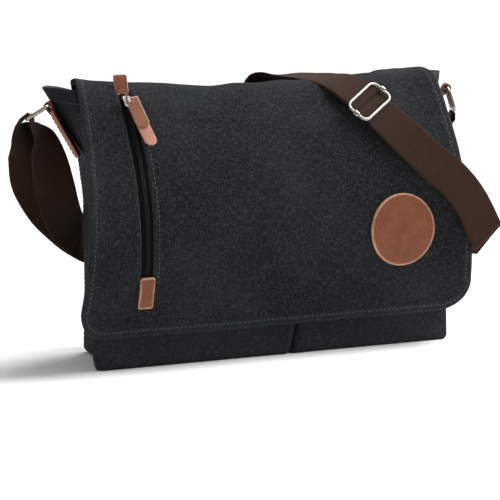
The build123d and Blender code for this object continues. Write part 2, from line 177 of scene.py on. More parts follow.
def show(name, data):
    """An object in the scene for a mesh, light or camera."""
    obj = bpy.data.objects.new(name, data)
    bpy.context.scene.collection.objects.link(obj)
    return obj


def new_object(name, vertices, faces, uvs=None, material_ids=None, materials=()):
    """A mesh object from millimetre vertices; uvs is one pair per vertex, in metres."""
    mesh = bpy.data.meshes.new(name)
    mesh.from_pydata([tuple(v) for v in np.asarray(vertices) * MM], [], [tuple(f) for f in faces])
    if uvs is not None:
        layer = mesh.uv_layers.new(name="cloth")
        loops = np.empty(len(mesh.loops), int)
        mesh.loops.foreach_get("vertex_index", loops)
        layer.data.foreach_set("uv", np.asarray(uvs, float)[loops].ravel())
    for material in materials:
        mesh.materials.append(material)
    if material_ids is not None:
        mesh.polygons.foreach_set("material_index", np.asarray(material_ids, int))
    mesh.polygons.foreach_set("use_smooth", [True] * len(mesh.polygons))
    mesh.update()
    return show(name, mesh)


def place_piece(obj, slot, *replaced, body=None):
    """Hides the CAD pieces a finished piece stands for and lets the given body carry it; slot, what the piece
    is made of, is not used.
    """
    if replaced:
        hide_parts(*replaced)
    if body:
        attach(obj, body)


def grid_faces(rows, cols, start=0, wrap=False, flip=False):
    faces = []
    last = cols if wrap else cols - 1
    for i in range(rows - 1):
        for j in range(last):
            a = start + i * cols + j
            b = start + i * cols + (j + 1) % cols
            quad = (a, b, b + cols, a + cols)
            faces.append(quad[::-1] if flip else quad)
    return faces


def grid_normals(points):
    """Unit normals of a (rows, cols, 3) grid."""
    du = np.gradient(points, axis=1)
    dv = np.gradient(points, axis=0)
    normals = np.cross(du, dv)
    length = np.linalg.norm(normals, axis=2, keepdims=True)
    return normals / np.maximum(length, 1e-9)


def border(rows, cols):
    """Grid indices round the border, in order."""
    ring = [(0, j) for j in range(cols)]
    ring += [(i, cols - 1) for i in range(1, rows)]
    ring += [(rows - 1, j) for j in range(cols - 2, -1, -1)]
    ring += [(i, 0) for i in range(rows - 2, 0, -1)]
    return ring


def thick_sheet(name, outer, thickness, uvs, materials, roll=0.8):
    """A cloth sheet: outer grid, inner grid behind it and a rounded rim between them."""
    rows, cols, _ = outer.shape
    normals = grid_normals(outer)
    inner = outer - normals * thickness
    count = rows * cols
    rim_id = 1 if len(materials) == 3 else 0
    faces = grid_faces(rows, cols)
    ids = [0] * len(faces)
    for k in range(len(faces)):
        i, j = divmod(k, cols - 1)
        if i in (0, rows - 2) or j in (0, cols - 2):
            ids[k] = rim_id
    faces += grid_faces(rows, cols, start=count, flip=True)
    ids += [len(materials) - 1] * (len(faces) - len(ids))
    ring = border(rows, cols)
    middle = []
    for i, j in ring:
        inside = outer[min(max(i, 1), rows - 2), min(max(j, 1), cols - 2)]
        away = outer[i, j] - inside
        away /= max(np.linalg.norm(away), 1e-9)
        middle.append((outer[i, j] + inner[i, j]) / 2 + away * roll)
    vertices = np.concatenate([outer.reshape(-1, 3), inner.reshape(-1, 3), np.array(middle)])
    flat_uv = uvs.reshape(-1, 2)
    ring_uv = np.array([uvs[i, j] for i, j in ring])
    all_uv = np.concatenate([flat_uv, flat_uv, ring_uv])
    for k, (i, j) in enumerate(ring):
        m, n = ring[(k + 1) % len(ring)]
        a, b = i * cols + j, m * cols + n
        c, d = 2 * count + k, 2 * count + (k + 1) % len(ring)
        faces.append((b, a, c, d))
        faces.append((d, c, count + a, count + b))
        ids += [rim_id, rim_id]
    return new_object(name, vertices, faces, all_uv, ids, materials)


def bumpy(x, y, size, seed=0.0):
    """Smooth noise between about -1 and 1, with features of the given size in millimetres."""
    return noise.noise(Vector((x / size, y / size, seed * 7.31 + 0.5)))


def bump_grid(u, v, size, seed=0.0):
    flat = [bumpy(a, b, size, seed) for a, b in zip(u.ravel(), v.ravel())]
    return np.array(flat).reshape(u.shape)


def distances(points):
    """Distance of each point along its polyline."""
    steps = np.linalg.norm(np.diff(points, axis=0), axis=1)
    return np.concatenate([[0], np.cumsum(steps)])


def resample(points, count):
    """Points evenly spaced along a polyline, with their distance along it."""
    points = np.asarray(points, float)
    distance = distances(points)
    wanted = np.linspace(0, distance[-1], count)
    out = np.stack([np.interp(wanted, distance, points[:, k]) for k in range(points.shape[1])], axis=1)
    return out, wanted


def curve_through(points, count):
    """A Catmull-Rom curve through the points."""
    points = np.asarray(points, float)
    padded = np.concatenate([2 * points[:1] - points[1:2], points, 2 * points[-1:] - points[-2:-1]])
    out = []
    for k in range(len(points) - 1):
        p0, p1, p2, p3 = padded[k:k + 4]
        for t in np.linspace(0, 1, 24, endpoint=False):
            out.append(0.5 * (
                2 * p1 + (p2 - p0) * t
                + (2 * p0 - 5 * p1 + 4 * p2 - p3) * t * t
                + (3 * p1 - p0 - 3 * p2 + p3) * t ** 3
            ))
    out.append(points[-1])
    return resample(out, count)[0]


def tube(name, path, radius, material, sides=8, closed=False):
    """A round tube along a millimetre path."""
    path = np.asarray(path, float)
    count = len(path)
    if closed:
        tangents = np.roll(path, -1, axis=0) - np.roll(path, 1, axis=0)
    else:
        tangents = np.gradient(path, axis=0)
    tangents /= np.linalg.norm(tangents, axis=1, keepdims=True)
    side = np.cross(tangents[0], (0.31, 0.17, 0.93))
    vertices = []
    for k in range(count):
        side = side - tangents[k] * side.dot(tangents[k])
        side /= np.linalg.norm(side)
        other = np.cross(tangents[k], side)
        for s in range(sides):
            angle = 2 * math.pi * s / sides
            vertices.append(path[k] + radius * (math.cos(angle) * side + math.sin(angle) * other))
    faces = grid_faces(count, sides, wrap=True)
    if closed:
        base = (count - 1) * sides
        for s in range(sides):
            faces.append((base + s, base + (s + 1) % sides, (s + 1) % sides, s))
    else:
        faces.append(tuple(range(sides))[::-1])
        faces.append(tuple((count - 1) * sides + s for s in range(sides)))
    return new_object(name, vertices, faces, materials=[material])


def along_path(at, distance, values):
    """A vector interpolated at one distance along a path."""
    return np.array([np.interp(at, distance, values[:, k]) for k in range(3)])


def stitches(name, path, normals, material, length=3.1, gap=1.2, width=0.8, height=0.45):
    """A row of sewn stitches along a path that lies on a surface."""
    path = np.asarray(path, float)
    normals = np.asarray(normals, float)
    distance = distances(path)
    count = int(distance[-1] // (length + gap))
    vertices, faces = [], []
    shape = [(-0.5, 0), (-0.32, 0.5), (0.32, 0.5), (0.5, 0), (0.32, -0.5), (-0.32, -0.5)]
    for k in range(count):
        middle = (k + 0.5) * distance[-1] / count
        spots = np.array([middle - length / 2, middle, middle + length / 2])
        start, centre, end = (along_path(s, distance, path) for s in spots)
        normal = unit(along_path(middle, distance, normals))
        along = unit(end - start)
        across = np.cross(normal, along)
        base = len(vertices)
        for a, b in shape:
            vertices.append(centre + along * a * length + across * b * width - normal * 0.15)
        for a, b in shape:
            vertices.append(centre + along * a * length * 0.8 + across * b * width * 0.6 + normal * height)
        for s in range(6):
            faces.append((base + s, base + (s + 1) % 6, base + 6 + (s + 1) % 6, base + 6 + s))
        faces.append(tuple(base + 6 + s for s in range(6)))
        faces.append(tuple(base + s for s in range(6))[::-1])
    return new_object(name, vertices, faces, materials=[material])


# ---------------------------------------------------------------- material helpers
SHADER_SOCKETS = {
    "sheen_weight": "Sheen Weight",
    "sheen_roughness": "Sheen Roughness",
    "specular_ior_level": "Specular IOR Level",
    "metallic": "Metallic",
}


class Nodes:
    """A small builder for node materials."""

    def __init__(self, name):
        self.material = bpy.data.materials.new(name)
        self.material.use_nodes = True
        self.tree = self.material.node_tree
        self.shader = self.tree.nodes["Principled BSDF"]

    def add(self, kind, **settings):
        node = self.tree.nodes.new(kind)
        for key, value in settings.items():
            setattr(node, key, value)
        return node

    def link(self, source, target):
        self.tree.links.new(source, target)

    def coords(self, kind="UV", scale=(1, 1, 1)):
        source = self.add("ShaderNodeTexCoord")
        mapping = self.add("ShaderNodeMapping")
        mapping.inputs["Scale"].default_value = scale
        self.link(source.outputs[kind], mapping.inputs["Vector"])
        return mapping.outputs["Vector"]

    def noise(self, vector, scale, detail=3.0, rough=0.55):
        node = self.add("ShaderNodeTexNoise")
        node.inputs["Scale"].default_value = scale
        node.inputs["Detail"].default_value = detail
        node.inputs["Roughness"].default_value = rough
        self.link(vector, node.inputs["Vector"])
        return node.outputs["Fac"]

    def bands(self, vector, scale, direction="X", distort=0.0):
        node = self.add("ShaderNodeTexWave", bands_direction=direction)
        node.inputs["Scale"].default_value = scale
        node.inputs["Distortion"].default_value = distort
        self.link(vector, node.inputs["Vector"])
        return node.outputs["Fac"]

    def cells(self, vector, scale):
        node = self.add("ShaderNodeTexVoronoi", feature="F1")
        node.inputs["Scale"].default_value = scale
        self.link(vector, node.inputs["Vector"])
        return node.outputs["Distance"]

    def math(self, operation, a, b=None, clamp=False):
        node = self.add("ShaderNodeMath", operation=operation, use_clamp=clamp)
        for socket, value in zip(node.inputs, (a, b)):
            if value is None:
                continue
            if isinstance(value, (int, float)):
                socket.default_value = value
            else:
                self.link(value, socket)
        return node.outputs[0]

    def spread(self, value, low, high, to_low=0.0, to_high=1.0):
        node = self.add("ShaderNodeMapRange")
        self.link(value, node.inputs["Value"])
        for key, number in zip(("From Min", "From Max", "To Min", "To Max"), (low, high, to_low, to_high)):
            node.inputs[key].default_value = number
        return node.outputs["Result"]

    def ramp(self, value, stops):
        node = self.add("ShaderNodeValToRGB")
        elements = node.color_ramp.elements
        while len(elements) < len(stops):
            elements.new(0.5)
        for element, (place, colour) in zip(elements, stops):
            element.position = place
            element.color = (*colour, 1)
        self.link(value, node.inputs["Fac"])
        return node.outputs["Color"]

    def mix(self, factor, a, b, blend="MIX"):
        node = self.add("ShaderNodeMix", data_type="RGBA", blend_type=blend)
        sockets = [s for s in node.inputs if s.enabled]
        for socket, value in zip(sockets, (factor, a, b)):
            if isinstance(value, (int, float)):
                socket.default_value = value
            elif isinstance(value, tuple):
                socket.default_value = (*value, 1)
            else:
                self.link(value, socket)
        return [s for s in node.outputs if s.enabled][0]

    def bump(self, height, distance, strength):
        node = self.add("ShaderNodeBump")
        node.inputs["Distance"].default_value = distance
        node.inputs["Strength"].default_value = strength
        self.link(height, node.inputs["Height"])
        return node.outputs["Normal"]

    def finish(self, colour, rough, normal, **values):
        for key, value in (("Base Color", colour), ("Roughness", rough), ("Normal", normal)):
            if isinstance(value, (int, float)):
                self.shader.inputs[key].default_value = value
            else:
                self.link(value, self.shader.inputs[key])
        for key, value in values.items():
            self.shader.inputs[SHADER_SOCKETS[key]].default_value = value
        return self.material


WAVE_PERIOD = 0.314      # a wave texture at scale 1 repeats over this length


def canvas_material(name, dark, light, wear_and_painted_fill):
    """Washed heather canvas: dark yarn with fine pale slubs both ways, rubbed paler where it wears, and
    painted paler where a vertex attribute adds painted fill light.
    """
    m = Nodes(name)
    cloth = m.coords("UV")
    warp = m.noise(m.coords("UV", scale=(880, 190, 190)), 1.0, 2.0)
    weft = m.noise(m.coords("UV", scale=(200, 830, 830)), 1.0, 2.0)
    slub = m.math("MAXIMUM", m.spread(warp, 0.48, 0.76), m.spread(weft, 0.49, 0.77))
    patchy = m.noise(cloth, 60.0, 4.0)
    slub = m.math("MULTIPLY", slub, m.spread(patchy, 0.3, 0.75, 0.7, 1.1), clamp=True)
    colour = m.mix(slub, dark, light)
    faded = m.spread(m.noise(cloth, 11.0, 3.0), 0.35, 0.7, 0.0, 0.16)
    # per-vertex paleness: real rubbed wear, plus painted fill light on the shell where it lies in shade
    rubbed_and_painted_fill = m.add("ShaderNodeAttribute", attribute_name="wear_and_painted_fill").outputs["Fac"]
    rubbed_and_painted_fill = m.math("MULTIPLY", rubbed_and_painted_fill, m.spread(m.noise(cloth, 420.0, 3.0), 0.3, 0.65, 0.25, 1.0))
    colour = m.mix(m.math("ADD", faded, rubbed_and_painted_fill, clamp=True), colour, wear_and_painted_fill)
    over = m.bands(cloth, WAVE_PERIOD / 0.00085, "X", 0.6)
    under = m.bands(cloth, WAVE_PERIOD / 0.00090, "Y", 0.6)
    weave = m.math("ADD", m.math("MULTIPLY", over, 0.5), m.math("MULTIPLY", under, 0.5))
    height = m.math("ADD", weave, m.math("MULTIPLY", slub, 0.8))
    normal = m.bump(height, 0.00035, 0.8)
    rough = m.spread(slub, 0, 1, 0.95, 0.82)
    return m.finish(colour, rough, normal, sheen_weight=0.025, sheen_roughness=0.5, specular_ior_level=0.10)


def set_wear_and_painted_fill(obj, values):
    """Stores how pale the cloth is at each vertex, for the canvas material: rubbed wear, and on the bag's
    shell painted fill light too.
    """
    layer = obj.data.attributes.new("wear_and_painted_fill", "FLOAT", "POINT")
    data = np.zeros(len(obj.data.vertices), np.float32)
    data[:len(values)] = values
    layer.data.foreach_set("value", data)


def webbing_material(name):
    """Ribbed brown strap webbing."""
    m = Nodes(name)
    cloth = m.coords("UV")
    rib = m.bands(cloth, WAVE_PERIOD / 0.0013, "X", 0.25)
    pick = m.bands(cloth, WAVE_PERIOD / 0.0011, "Y", 0.4)
    weave = m.math("MULTIPLY", rib, pick)
    yarn = m.noise(m.coords("UV", scale=(900, 240, 1)), 1.0, 3.0)
    shade = m.math("ADD", m.math("MULTIPLY", weave, 0.55), m.math("MULTIPLY", yarn, 0.6))
    colour = m.ramp(shade, [
        (0.15, (0.012, 0.0045, 0.0026)),
        (0.55, (0.031, 0.0125, 0.0075)),
        (0.95, (0.066, 0.031, 0.020)),
    ])
    large = m.spread(m.noise(cloth, 25.0, 3.0), 0.3, 0.7, 0.8, 1.15)
    colour = m.mix(1.0, colour, m.mix(large, (0.7, 0.7, 0.7), (1.1, 1.05, 1.0)), "MULTIPLY")
    normal = m.bump(m.math("ADD", weave, m.math("MULTIPLY", yarn, 0.5)), 0.0005, 0.8)
    return m.finish(colour, 0.86, normal, sheen_weight=0.05, sheen_roughness=0.4, specular_ior_level=0.12)


def leather_material(name, deep, mid, pale, grain=1500.0, depth=0.00012):
    """Mottled leather with fine pores."""
    m = Nodes(name)
    place = m.coords("Object")
    cells = m.cells(place, grain)
    fine = m.noise(place, 2600.0, 3.0)
    mottled = m.noise(place, 70.0, 5.0, 0.6)
    streak = m.noise(place, 260.0, 3.0)
    tone = m.math("ADD", m.math("MULTIPLY", mottled, 0.7), m.math("MULTIPLY", streak, 0.3))
    colour = m.ramp(tone, [(0.33, deep), (0.5, mid), (0.68, pale)])
    pore = m.spread(cells, 0.0, 0.35, 0.0, 1.0)
    colour = m.mix(m.math("MULTIPLY", m.math("SUBTRACT", 1.0, pore, clamp=True), 0.25), colour, deep)
    height = m.math("ADD", m.math("MULTIPLY", pore, 0.6), m.math("MULTIPLY", fine, 0.4))
    normal = m.bump(height, depth, 0.7)
    rough = m.spread(tone, 0.3, 0.7, 0.66, 0.50)
    return m.finish(colour, rough, normal, specular_ior_level=0.22)


def metal_material(name, colour, rough):
    """Plated metal, smeared and finely scratched."""
    m = Nodes(name)
    place = m.coords("Object")
    smear = m.noise(place, 400.0, 3.0)
    scratch = m.noise(m.coords("Object", scale=(4000, 300, 900)), 1.0, 2.0)
    tint = m.mix(m.spread(smear, 0.35, 0.7), colour, tuple(c * 0.86 for c in colour))
    height = m.math("ADD", m.math("MULTIPLY", smear, 0.6), m.math("MULTIPLY", scratch, 0.4))
    shine = m.spread(m.math("ADD", smear, m.math("MULTIPLY", scratch, 0.5)), 0.5, 1.0, rough, rough + 0.16)
    return m.finish(tint, shine, m.bump(height, 0.00004, 0.5), metallic=1.0)


def plain_weave_material(name, dark, light, thread, rough=0.85, kind="UV", shine=0.25):
    """A fine plain-woven or knitted cloth."""
    m = Nodes(name)
    cloth = m.coords(kind)
    over = m.bands(cloth, WAVE_PERIOD / thread, "X", 0.3)
    under = m.bands(cloth, WAVE_PERIOD / thread, "Y", 0.3)
    weave = m.math("MULTIPLY", over, under)
    fuzz = m.noise(cloth, 700.0, 3.0)
    tone = m.math("ADD", m.math("MULTIPLY", weave, 0.5), m.math("MULTIPLY", fuzz, 0.5))
    colour = m.mix(tone, dark, light)
    return m.finish(colour, rough, m.bump(tone, 0.0003, 0.7), sheen_weight=0.02, specular_ior_level=shine)


def grey(value):
    return (value, value, value)


canvas = canvas_material(
    "heather_canvas", dark=(0.0026, 0.0028, 0.0032), light=(0.034, 0.036, 0.0405), wear_and_painted_fill=(0.056, 0.059, 0.065)
)
webbing = webbing_material("brown_webbing")
leather = leather_material(
    "tan_leather", deep=(0.124, 0.037, 0.014), mid=(0.152, 0.046, 0.018), pale=(0.178, 0.058, 0.025)
)
leather_edge = leather_material(
    "leather_edge", deep=(0.26, 0.12, 0.075), mid=(0.38, 0.19, 0.12), pale=(0.46, 0.25, 0.17),
    grain=900.0, depth=0.0002,
)
suede = leather_material(
    "suede_side", deep=(0.27, 0.115, 0.078), mid=(0.34, 0.150, 0.108), pale=(0.41, 0.195, 0.145),
    grain=2200.0, depth=0.00025,
)
nickel = metal_material("plated_nickel", (0.33, 0.305, 0.275), 0.20)
tape_cloth = plain_weave_material(
    "zip_tape_cloth", (0.0020, 0.0020, 0.0022), (0.0075, 0.0075, 0.008), thread=0.0008, shine=0.06
)
lining_cloth = plain_weave_material(
    "lining_cloth", (0.020, 0.021, 0.024), (0.075, 0.078, 0.085), thread=0.0007
)
padding_cloth = plain_weave_material(
    "padding_cloth", (0.055, 0.057, 0.062), (0.16, 0.165, 0.175), thread=0.0016, rough=0.95, kind="Object"
)
thread_dark = plain_weave_material(
    "thread_dark", (0.045, 0.046, 0.048), (0.120, 0.123, 0.128), thread=0.0005, rough=0.6, kind="Object"
)
thread_tan = plain_weave_material(
    "thread_tan", (0.22, 0.10, 0.055), (0.45, 0.25, 0.16), thread=0.0005, rough=0.6, kind="Object"
)
coil_plastic = plain_weave_material(
    "zip_coil_nylon", grey(0.0020), grey(0.0070), thread=0.0012, rough=0.5, kind="Object", shine=0.12
)
board_plastic = plain_weave_material(
    "board_plastic", grey(0.03), grey(0.08), thread=0.002, rough=0.5, kind="Object"
)


# ---------------------------------------------------------------- flap
ARC_TOP_Z = 236.0        # the hanging front's arc ends here, and so does the seam behind
SEAM_Y = 42.6


def bezier(start, leave, end, arrive, reach, count=14):
    """Points of a cubic from start to end, leaving and arriving along the given directions."""
    a = np.array(start, float)
    d = np.array(end, float)
    b = a + reach * np.array(leave, float)
    c = d - reach * np.array(arrive, float)
    t = np.linspace(0, 1, count)[1:, None]
    curve = a * (1 - t) ** 3 + 3 * b * t * (1 - t) ** 2 + 3 * c * t * t * (1 - t) + d * t ** 3
    return [tuple(p) for p in curve]


def flap_profile():
    """The flap's outer line in the YZ plane, from its hem over the top to the back seam."""
    low = math.asin((HEM_Z - ARC_Z) / ARC_R)
    high = math.asin((ARC_TOP_Z - ARC_Z) / ARC_R)
    angles = np.linspace(low, high, 60)
    points = [(ARC_Y - ARC_R * math.cos(a), ARC_Z + ARC_R * math.sin(a)) for a in angles]
    points += bezier(points[-1], (math.sin(high), math.cos(high)), (-16.0, TOP_Z + 0.3), (1.0, 0.03), 15.0)
    points.append((10.0, TOP_Z + 0.6))
    points += bezier((28.0, TOP_Z), (1.0, -0.08), (SEAM_Y, 246.0), (0.0, -1.0), 9.0)
    points.append((SEAM_Y, ARC_TOP_Z))
    return points


profile, profile_s = resample(flap_profile(), 1200)
profile_normal = np.stack([-np.gradient(profile[:, 1]), np.gradient(profile[:, 0])], axis=1)
profile_normal /= np.linalg.norm(profile_normal, axis=1, keepdims=True)
FLAP_LENGTH = profile_s[-1]


def s_at_height(z):
    """Distance along the flap, from its hem, of a height on its hanging front."""
    front = profile_s < 0.72 * FLAP_LENGTH
    return float(np.interp(z, profile[front, 1], profile_s[front]))


S_FOLD = s_at_height(ZIP_TOP)
S_TOP_MIDDLE = float(profile_s[np.argmin(np.abs(profile[:, 0] - 2.0) + (profile[:, 1] < 200) * 1000)])
S_TAB = FLAP_LENGTH - 14.0
S_SLOT_LOW = s_at_height(ZIP_BOTTOM)
S_SLOT_HIGH = S_FOLD


def plain_half(s):
    """Half width of the flap at a distance from its hem, before the hem's corners are rounded."""
    return np.interp(s, [0, S_FOLD, S_TAB, FLAP_LENGTH], [HEM_HALF, TOP_HALF, TAB_HALF, BACK_SEAM_HALF])


def flap_half(s):
    """Half width of the flap at a distance from its hem."""
    corner = np.clip(HEM_CORNER - s, 0, HEM_CORNER)
    return float(plain_half(s) - HEM_CORNER + np.sqrt(HEM_CORNER ** 2 - corner ** 2))


def edge_distance(x, s):
    """Distance from the flap's cut edge, for points inside it."""
    side = plain_half(s) - np.abs(x)
    in_corner = (s < HEM_CORNER) & (side < HEM_CORNER)
    round_off = HEM_CORNER - np.hypot(HEM_CORNER - side, HEM_CORNER - s)
    return np.where(in_corner, round_off, np.minimum(side, s))


def hump(distance, width):
    """A bell of height 1."""
    return np.exp(-(distance / width) ** 2)


def broad_folds(x, s):
    """The flap's slow waves, which the leather on it follows too."""
    return 1.7 * bump_grid(x, s * 1.3, 95.0, 1.0) + 0.8 * bump_grid(x, s, 42.0, 2.0)


def flap_relief(x, s):
    """How far the flap's cloth stands off its plain profile: folds, turned hem, stitch lines and zip slot."""
    edge = edge_distance(x, s)
    relief = broad_folds(x, s)
    relief += 0.28 * bump_grid(x, s, 15.0, 3.0)
    relief += 1.1 * hump(s - S_SLOT_HIGH + 22, 24.0) * bump_grid(x * 0.5 + s * 0.4, s * 1.7, 30.0, 5.0)
    relief += 1.6 * np.exp(-edge / 30.0) * bump_grid(x, s, 36.0, 4.0)
    relief += 0.45 / (1 + np.exp((edge - 11.0) / 0.5))
    relief -= 0.55 * hump(edge - STITCH_INSET, 0.9)
    relief -= 1.1 * np.exp(-np.maximum(edge, 0) / 0.9)
    beside = np.abs(x - ZIP_X)
    along_zip = (s > S_SLOT_LOW - 2) & (s < S_SLOT_HIGH + 10)
    ridge = 0.5 * hump(beside - 9.5, 2.2) - 0.5 * hump(beside - ZIP_SEAM, 0.8)
    relief += np.where(along_zip, ridge, 0)
    in_slot = (beside < ZIP_HALF) & (s > S_SLOT_LOW) & (s < S_SLOT_HIGH)
    return np.where(in_slot, relief - 2.0, relief)


def flap_normal(s):
    ny, nz = (np.interp(s, profile_s, profile_normal[:, k]) for k in (0, 1))
    return np.stack([np.zeros_like(ny), ny, nz], axis=-1)


def raised(x, s, off):
    """Points at (x, s) of the flap's plain profile, moved out by off, with the top of the bag settled."""
    x, s = np.broadcast_arrays(np.asarray(x, float), np.asarray(s, float))
    y, z = (np.interp(s, profile_s, profile[:, k]) for k in (0, 1))
    return settle(np.stack([x, y, z], axis=-1) + flap_normal(s) * np.asarray(off)[..., None])


def flap_point(x, s, lift=0.0):
    """Points on the flap's outer face, for arrays x and s, raised by lift."""
    x, s = np.broadcast_arrays(np.asarray(x, float), np.asarray(s, float))
    return raised(x, s, flap_relief(x, s) + lift)


def surface_near(at, lift):
    """The flap's face under each (x, s), smoothed so that leather bridges the slot and stitching."""
    x, s = at[:, 0], at[:, 1]
    return raised(x, s, broad_folds(x, s) + lift)


EDGE_OFFSETS = [0, 1.3, 3.5, 5.6, 6.5, 7.4, 9.5, 11.5, 15.0, 20.0]      # a fine grid along the turned edge
EDGE_ROOM = 23.0


def flap_columns(s):
    """X of each column of the flap's grid at distance s: fixed in the middle, following the edges outside."""
    half = flap_half(s)
    slot_offsets = (-ZIP_HALF - 0.35, -ZIP_HALF + 0.05, ZIP_HALF - 0.05, ZIP_HALF + 0.35)
    slot = [ZIP_X + offset for offset in slot_offsets]
    fixed = min(BACK_SEAM_HALF, half - EDGE_ROOM)
    left_start = -min(BACK_SEAM_HALF, max(fixed, -slot[0] + 4.0))
    middle = [*np.linspace(left_start, slot[0] - 1.2, 4), *slot, *np.linspace(slot[3] + 1.2, fixed, 76)]
    squeeze = min(1.0, (half + left_start) / EDGE_ROOM)
    left = [-half + offset * squeeze for offset in EDGE_OFFSETS]
    right = [half - offset for offset in EDGE_OFFSETS][::-1]
    return np.array(left + middle + right)


def flap_grid(s_values):
    x = np.array([flap_columns(s) for s in s_values])
    s = np.repeat(np.asarray(s_values)[:, None], x.shape[1], axis=1)
    return flap_point(x, s), np.stack([x, s], axis=-1) * MM


front_rows = EDGE_OFFSETS + [25.0] + list(np.linspace(29.0, S_SLOT_LOW - 0.3, 7)) + [S_SLOT_LOW + 0.1]
front_rows += list(np.linspace(S_SLOT_LOW + 4, S_TOP_MIDDLE, 56))
back_rows = list(np.linspace(S_TOP_MIDDLE, FLAP_LENGTH, 26))

points, uvs = flap_grid(front_rows)
flap_front = thick_sheet("flap_front_cloth", points, FLAP_T, uvs, [canvas, lining_cloth])
place_piece(flap_front, "canvas", "flap_front_canvas", "flap_front_lining", "zip_pocket")

# The cloth is rubbed pale on its cut edge, on both sides of the stitching and along the zip's slot.
grid_x, grid_s = uvs[:, :, 0] / MM, uvs[:, :, 1] / MM
edge = edge_distance(grid_x, grid_s)
rub_and_painted_fill = 0.55 * np.exp(-np.maximum(edge, 0) / 1.2)
rub_and_painted_fill += 0.35 * hump(edge - STITCH_INSET + 1.6, 1.0) + 0.30 * hump(edge - STITCH_INSET - 1.6, 1.0)
zip_edge = np.abs(grid_x - ZIP_X) - ZIP_HALF
along_slot = (grid_s > S_SLOT_LOW) & (grid_s < S_SLOT_HIGH) & (zip_edge > -0.5)
rub_and_painted_fill += np.where(along_slot, 0.4 * np.exp(-np.maximum(zip_edge, 0)), 0)
set_wear_and_painted_fill(flap_front, rub_and_painted_fill.ravel())

points, uvs = flap_grid(back_rows)
flap_top = thick_sheet("flap_top_cloth", points, FLAP_TOP_T, uvs, [canvas, lining_cloth])
place_piece(flap_top, "canvas", "flap_top_canvas", "flap_top_lining")


def outline_path(inset):
    """(x, s) down the flap's left side, along its hem and up its right side, inside its edge."""
    radius = HEM_CORNER - inset
    straight = HEM_HALF - HEM_CORNER
    right_side = []
    for angle in np.linspace(math.pi / 2, 0, 14):
        right_side.append((straight + radius * math.cos(angle), HEM_CORNER - radius * math.sin(angle)))
    for s in np.linspace(HEM_CORNER, S_FOLD + 20, 70):
        right_side.append((flap_half(s) - inset, s))
    left_side = [(-x, s) for x, s in right_side[::-1]]
    hem = [(x, inset) for x in np.linspace(-straight + 4, straight - 4, 90)]
    return left_side + hem + right_side


def sew_on_flap(name, path):
    x, s = np.array(path).T
    return stitches(name, flap_point(x, s), flap_normal(s), thread_dark)


def sew_on_leather(name, path, **sizes):
    """Tan stitches sunk a little into a leather piece on the flap."""
    path = np.array(path)
    face = surface_near(path, LEATHER_LIFT + LEATHER_T - 0.2)
    return stitches(name, face, flap_normal(path[:, 1]), thread_tan, **sizes)


flap_bending = []        # pieces laid on the flap's front, baked in place with it
flap_bending.append(sew_on_flap("flap_edge_stitching", outline_path(STITCH_INSET)))
for tag, side in SIDES.items():
    line = [(ZIP_X + side * ZIP_SEAM, s) for s in np.linspace(S_SLOT_LOW - 4, S_FOLD + 6, 60)]
    flap_bending.append(sew_on_flap(f"zip_stitching_{tag}", line))

# The zip's tape lies in the slot.
tape_s = np.linspace(S_SLOT_LOW - 1, S_SLOT_HIGH + 1, 70)
tape_x = np.array([-6.45, -5.0, -3.4, -2.6, 0, 2.6, 3.4, 5.0, 6.45]) + ZIP_X
tape_lift = np.array([0.15, 0.35, 0.35, 0.7, 0.75, 0.7, 0.35, 0.35, 0.15])
grid_x, grid_s = np.meshgrid(tape_x, tape_s)
in_slot_x = np.clip(grid_x, ZIP_X - 6.2, ZIP_X + 6.2)
in_slot_s = np.clip(grid_s, S_SLOT_LOW + 0.2, S_SLOT_HIGH - 0.2)
base = flap_point(in_slot_x, in_slot_s)
base[:, :, 0] = grid_x
base += flap_normal(grid_s) * tape_lift[None, :, None]
tape = thick_sheet("zip_tape_cloth", base, 0.6, np.stack([grid_x, grid_s], axis=-1) * MM, [tape_cloth], 0.1)
place_piece(tape, "zip_tape", "zip_tape")
flap_bending.append(tape)

# The coil is a row of small arched teeth, left and right in turn.
TOOTH_PITCH = 1.4
vertices, faces = [], []
for k in range(int((S_SLOT_HIGH - S_SLOT_LOW - 10) / TOOTH_PITCH)):
    s = S_SLOT_LOW + 6 + k * TOOTH_PITCH
    centre = flap_point(ZIP_X, s, 1.35)
    normal = flap_normal(s)
    along = np.cross(normal, (1.0, 0, 0))
    for side in (-1, 1):
        first = len(vertices)
        spot = centre + np.array([side * 1.0, 0, 0]) + along * side * 0.35
        for dx, dn in ((-1.25, -0.35), (-0.9, 0.25), (0, 0.55), (0.9, 0.25), (1.25, -0.35)):
            for da in (-0.42, 0.42):
                vertices.append(spot + np.array([dx, 0, 0]) + normal * dn + along * da)
        for a in range(first, first + 8, 2):
            faces.append((a, a + 1, a + 3, a + 2))
        faces.append(tuple(first + i for i in (0, 2, 4, 6, 8)))
        faces.append(tuple(first + i for i in (9, 7, 5, 3, 1)))
        faces.append((first, first + 8, first + 9, first + 1))
coil = new_object("zip_coil_teeth", vertices, faces, materials=[coil_plastic])
place_piece(coil, "zip_coil", "zip_coil")
flap_bending.append(coil)


# ---------------------------------------------------------------- leather on the flap
LEATHER_T = 1.9
LEATHER_LIFT = 0.5       # how far its underside stands off the cloth
SEWN_AT = 2.4            # from the edge of a leather piece to its stitching
PALE_RINGS = 4           # the outermost rings of a plate are its burnished edge
MIDDLE_RINGS = 8


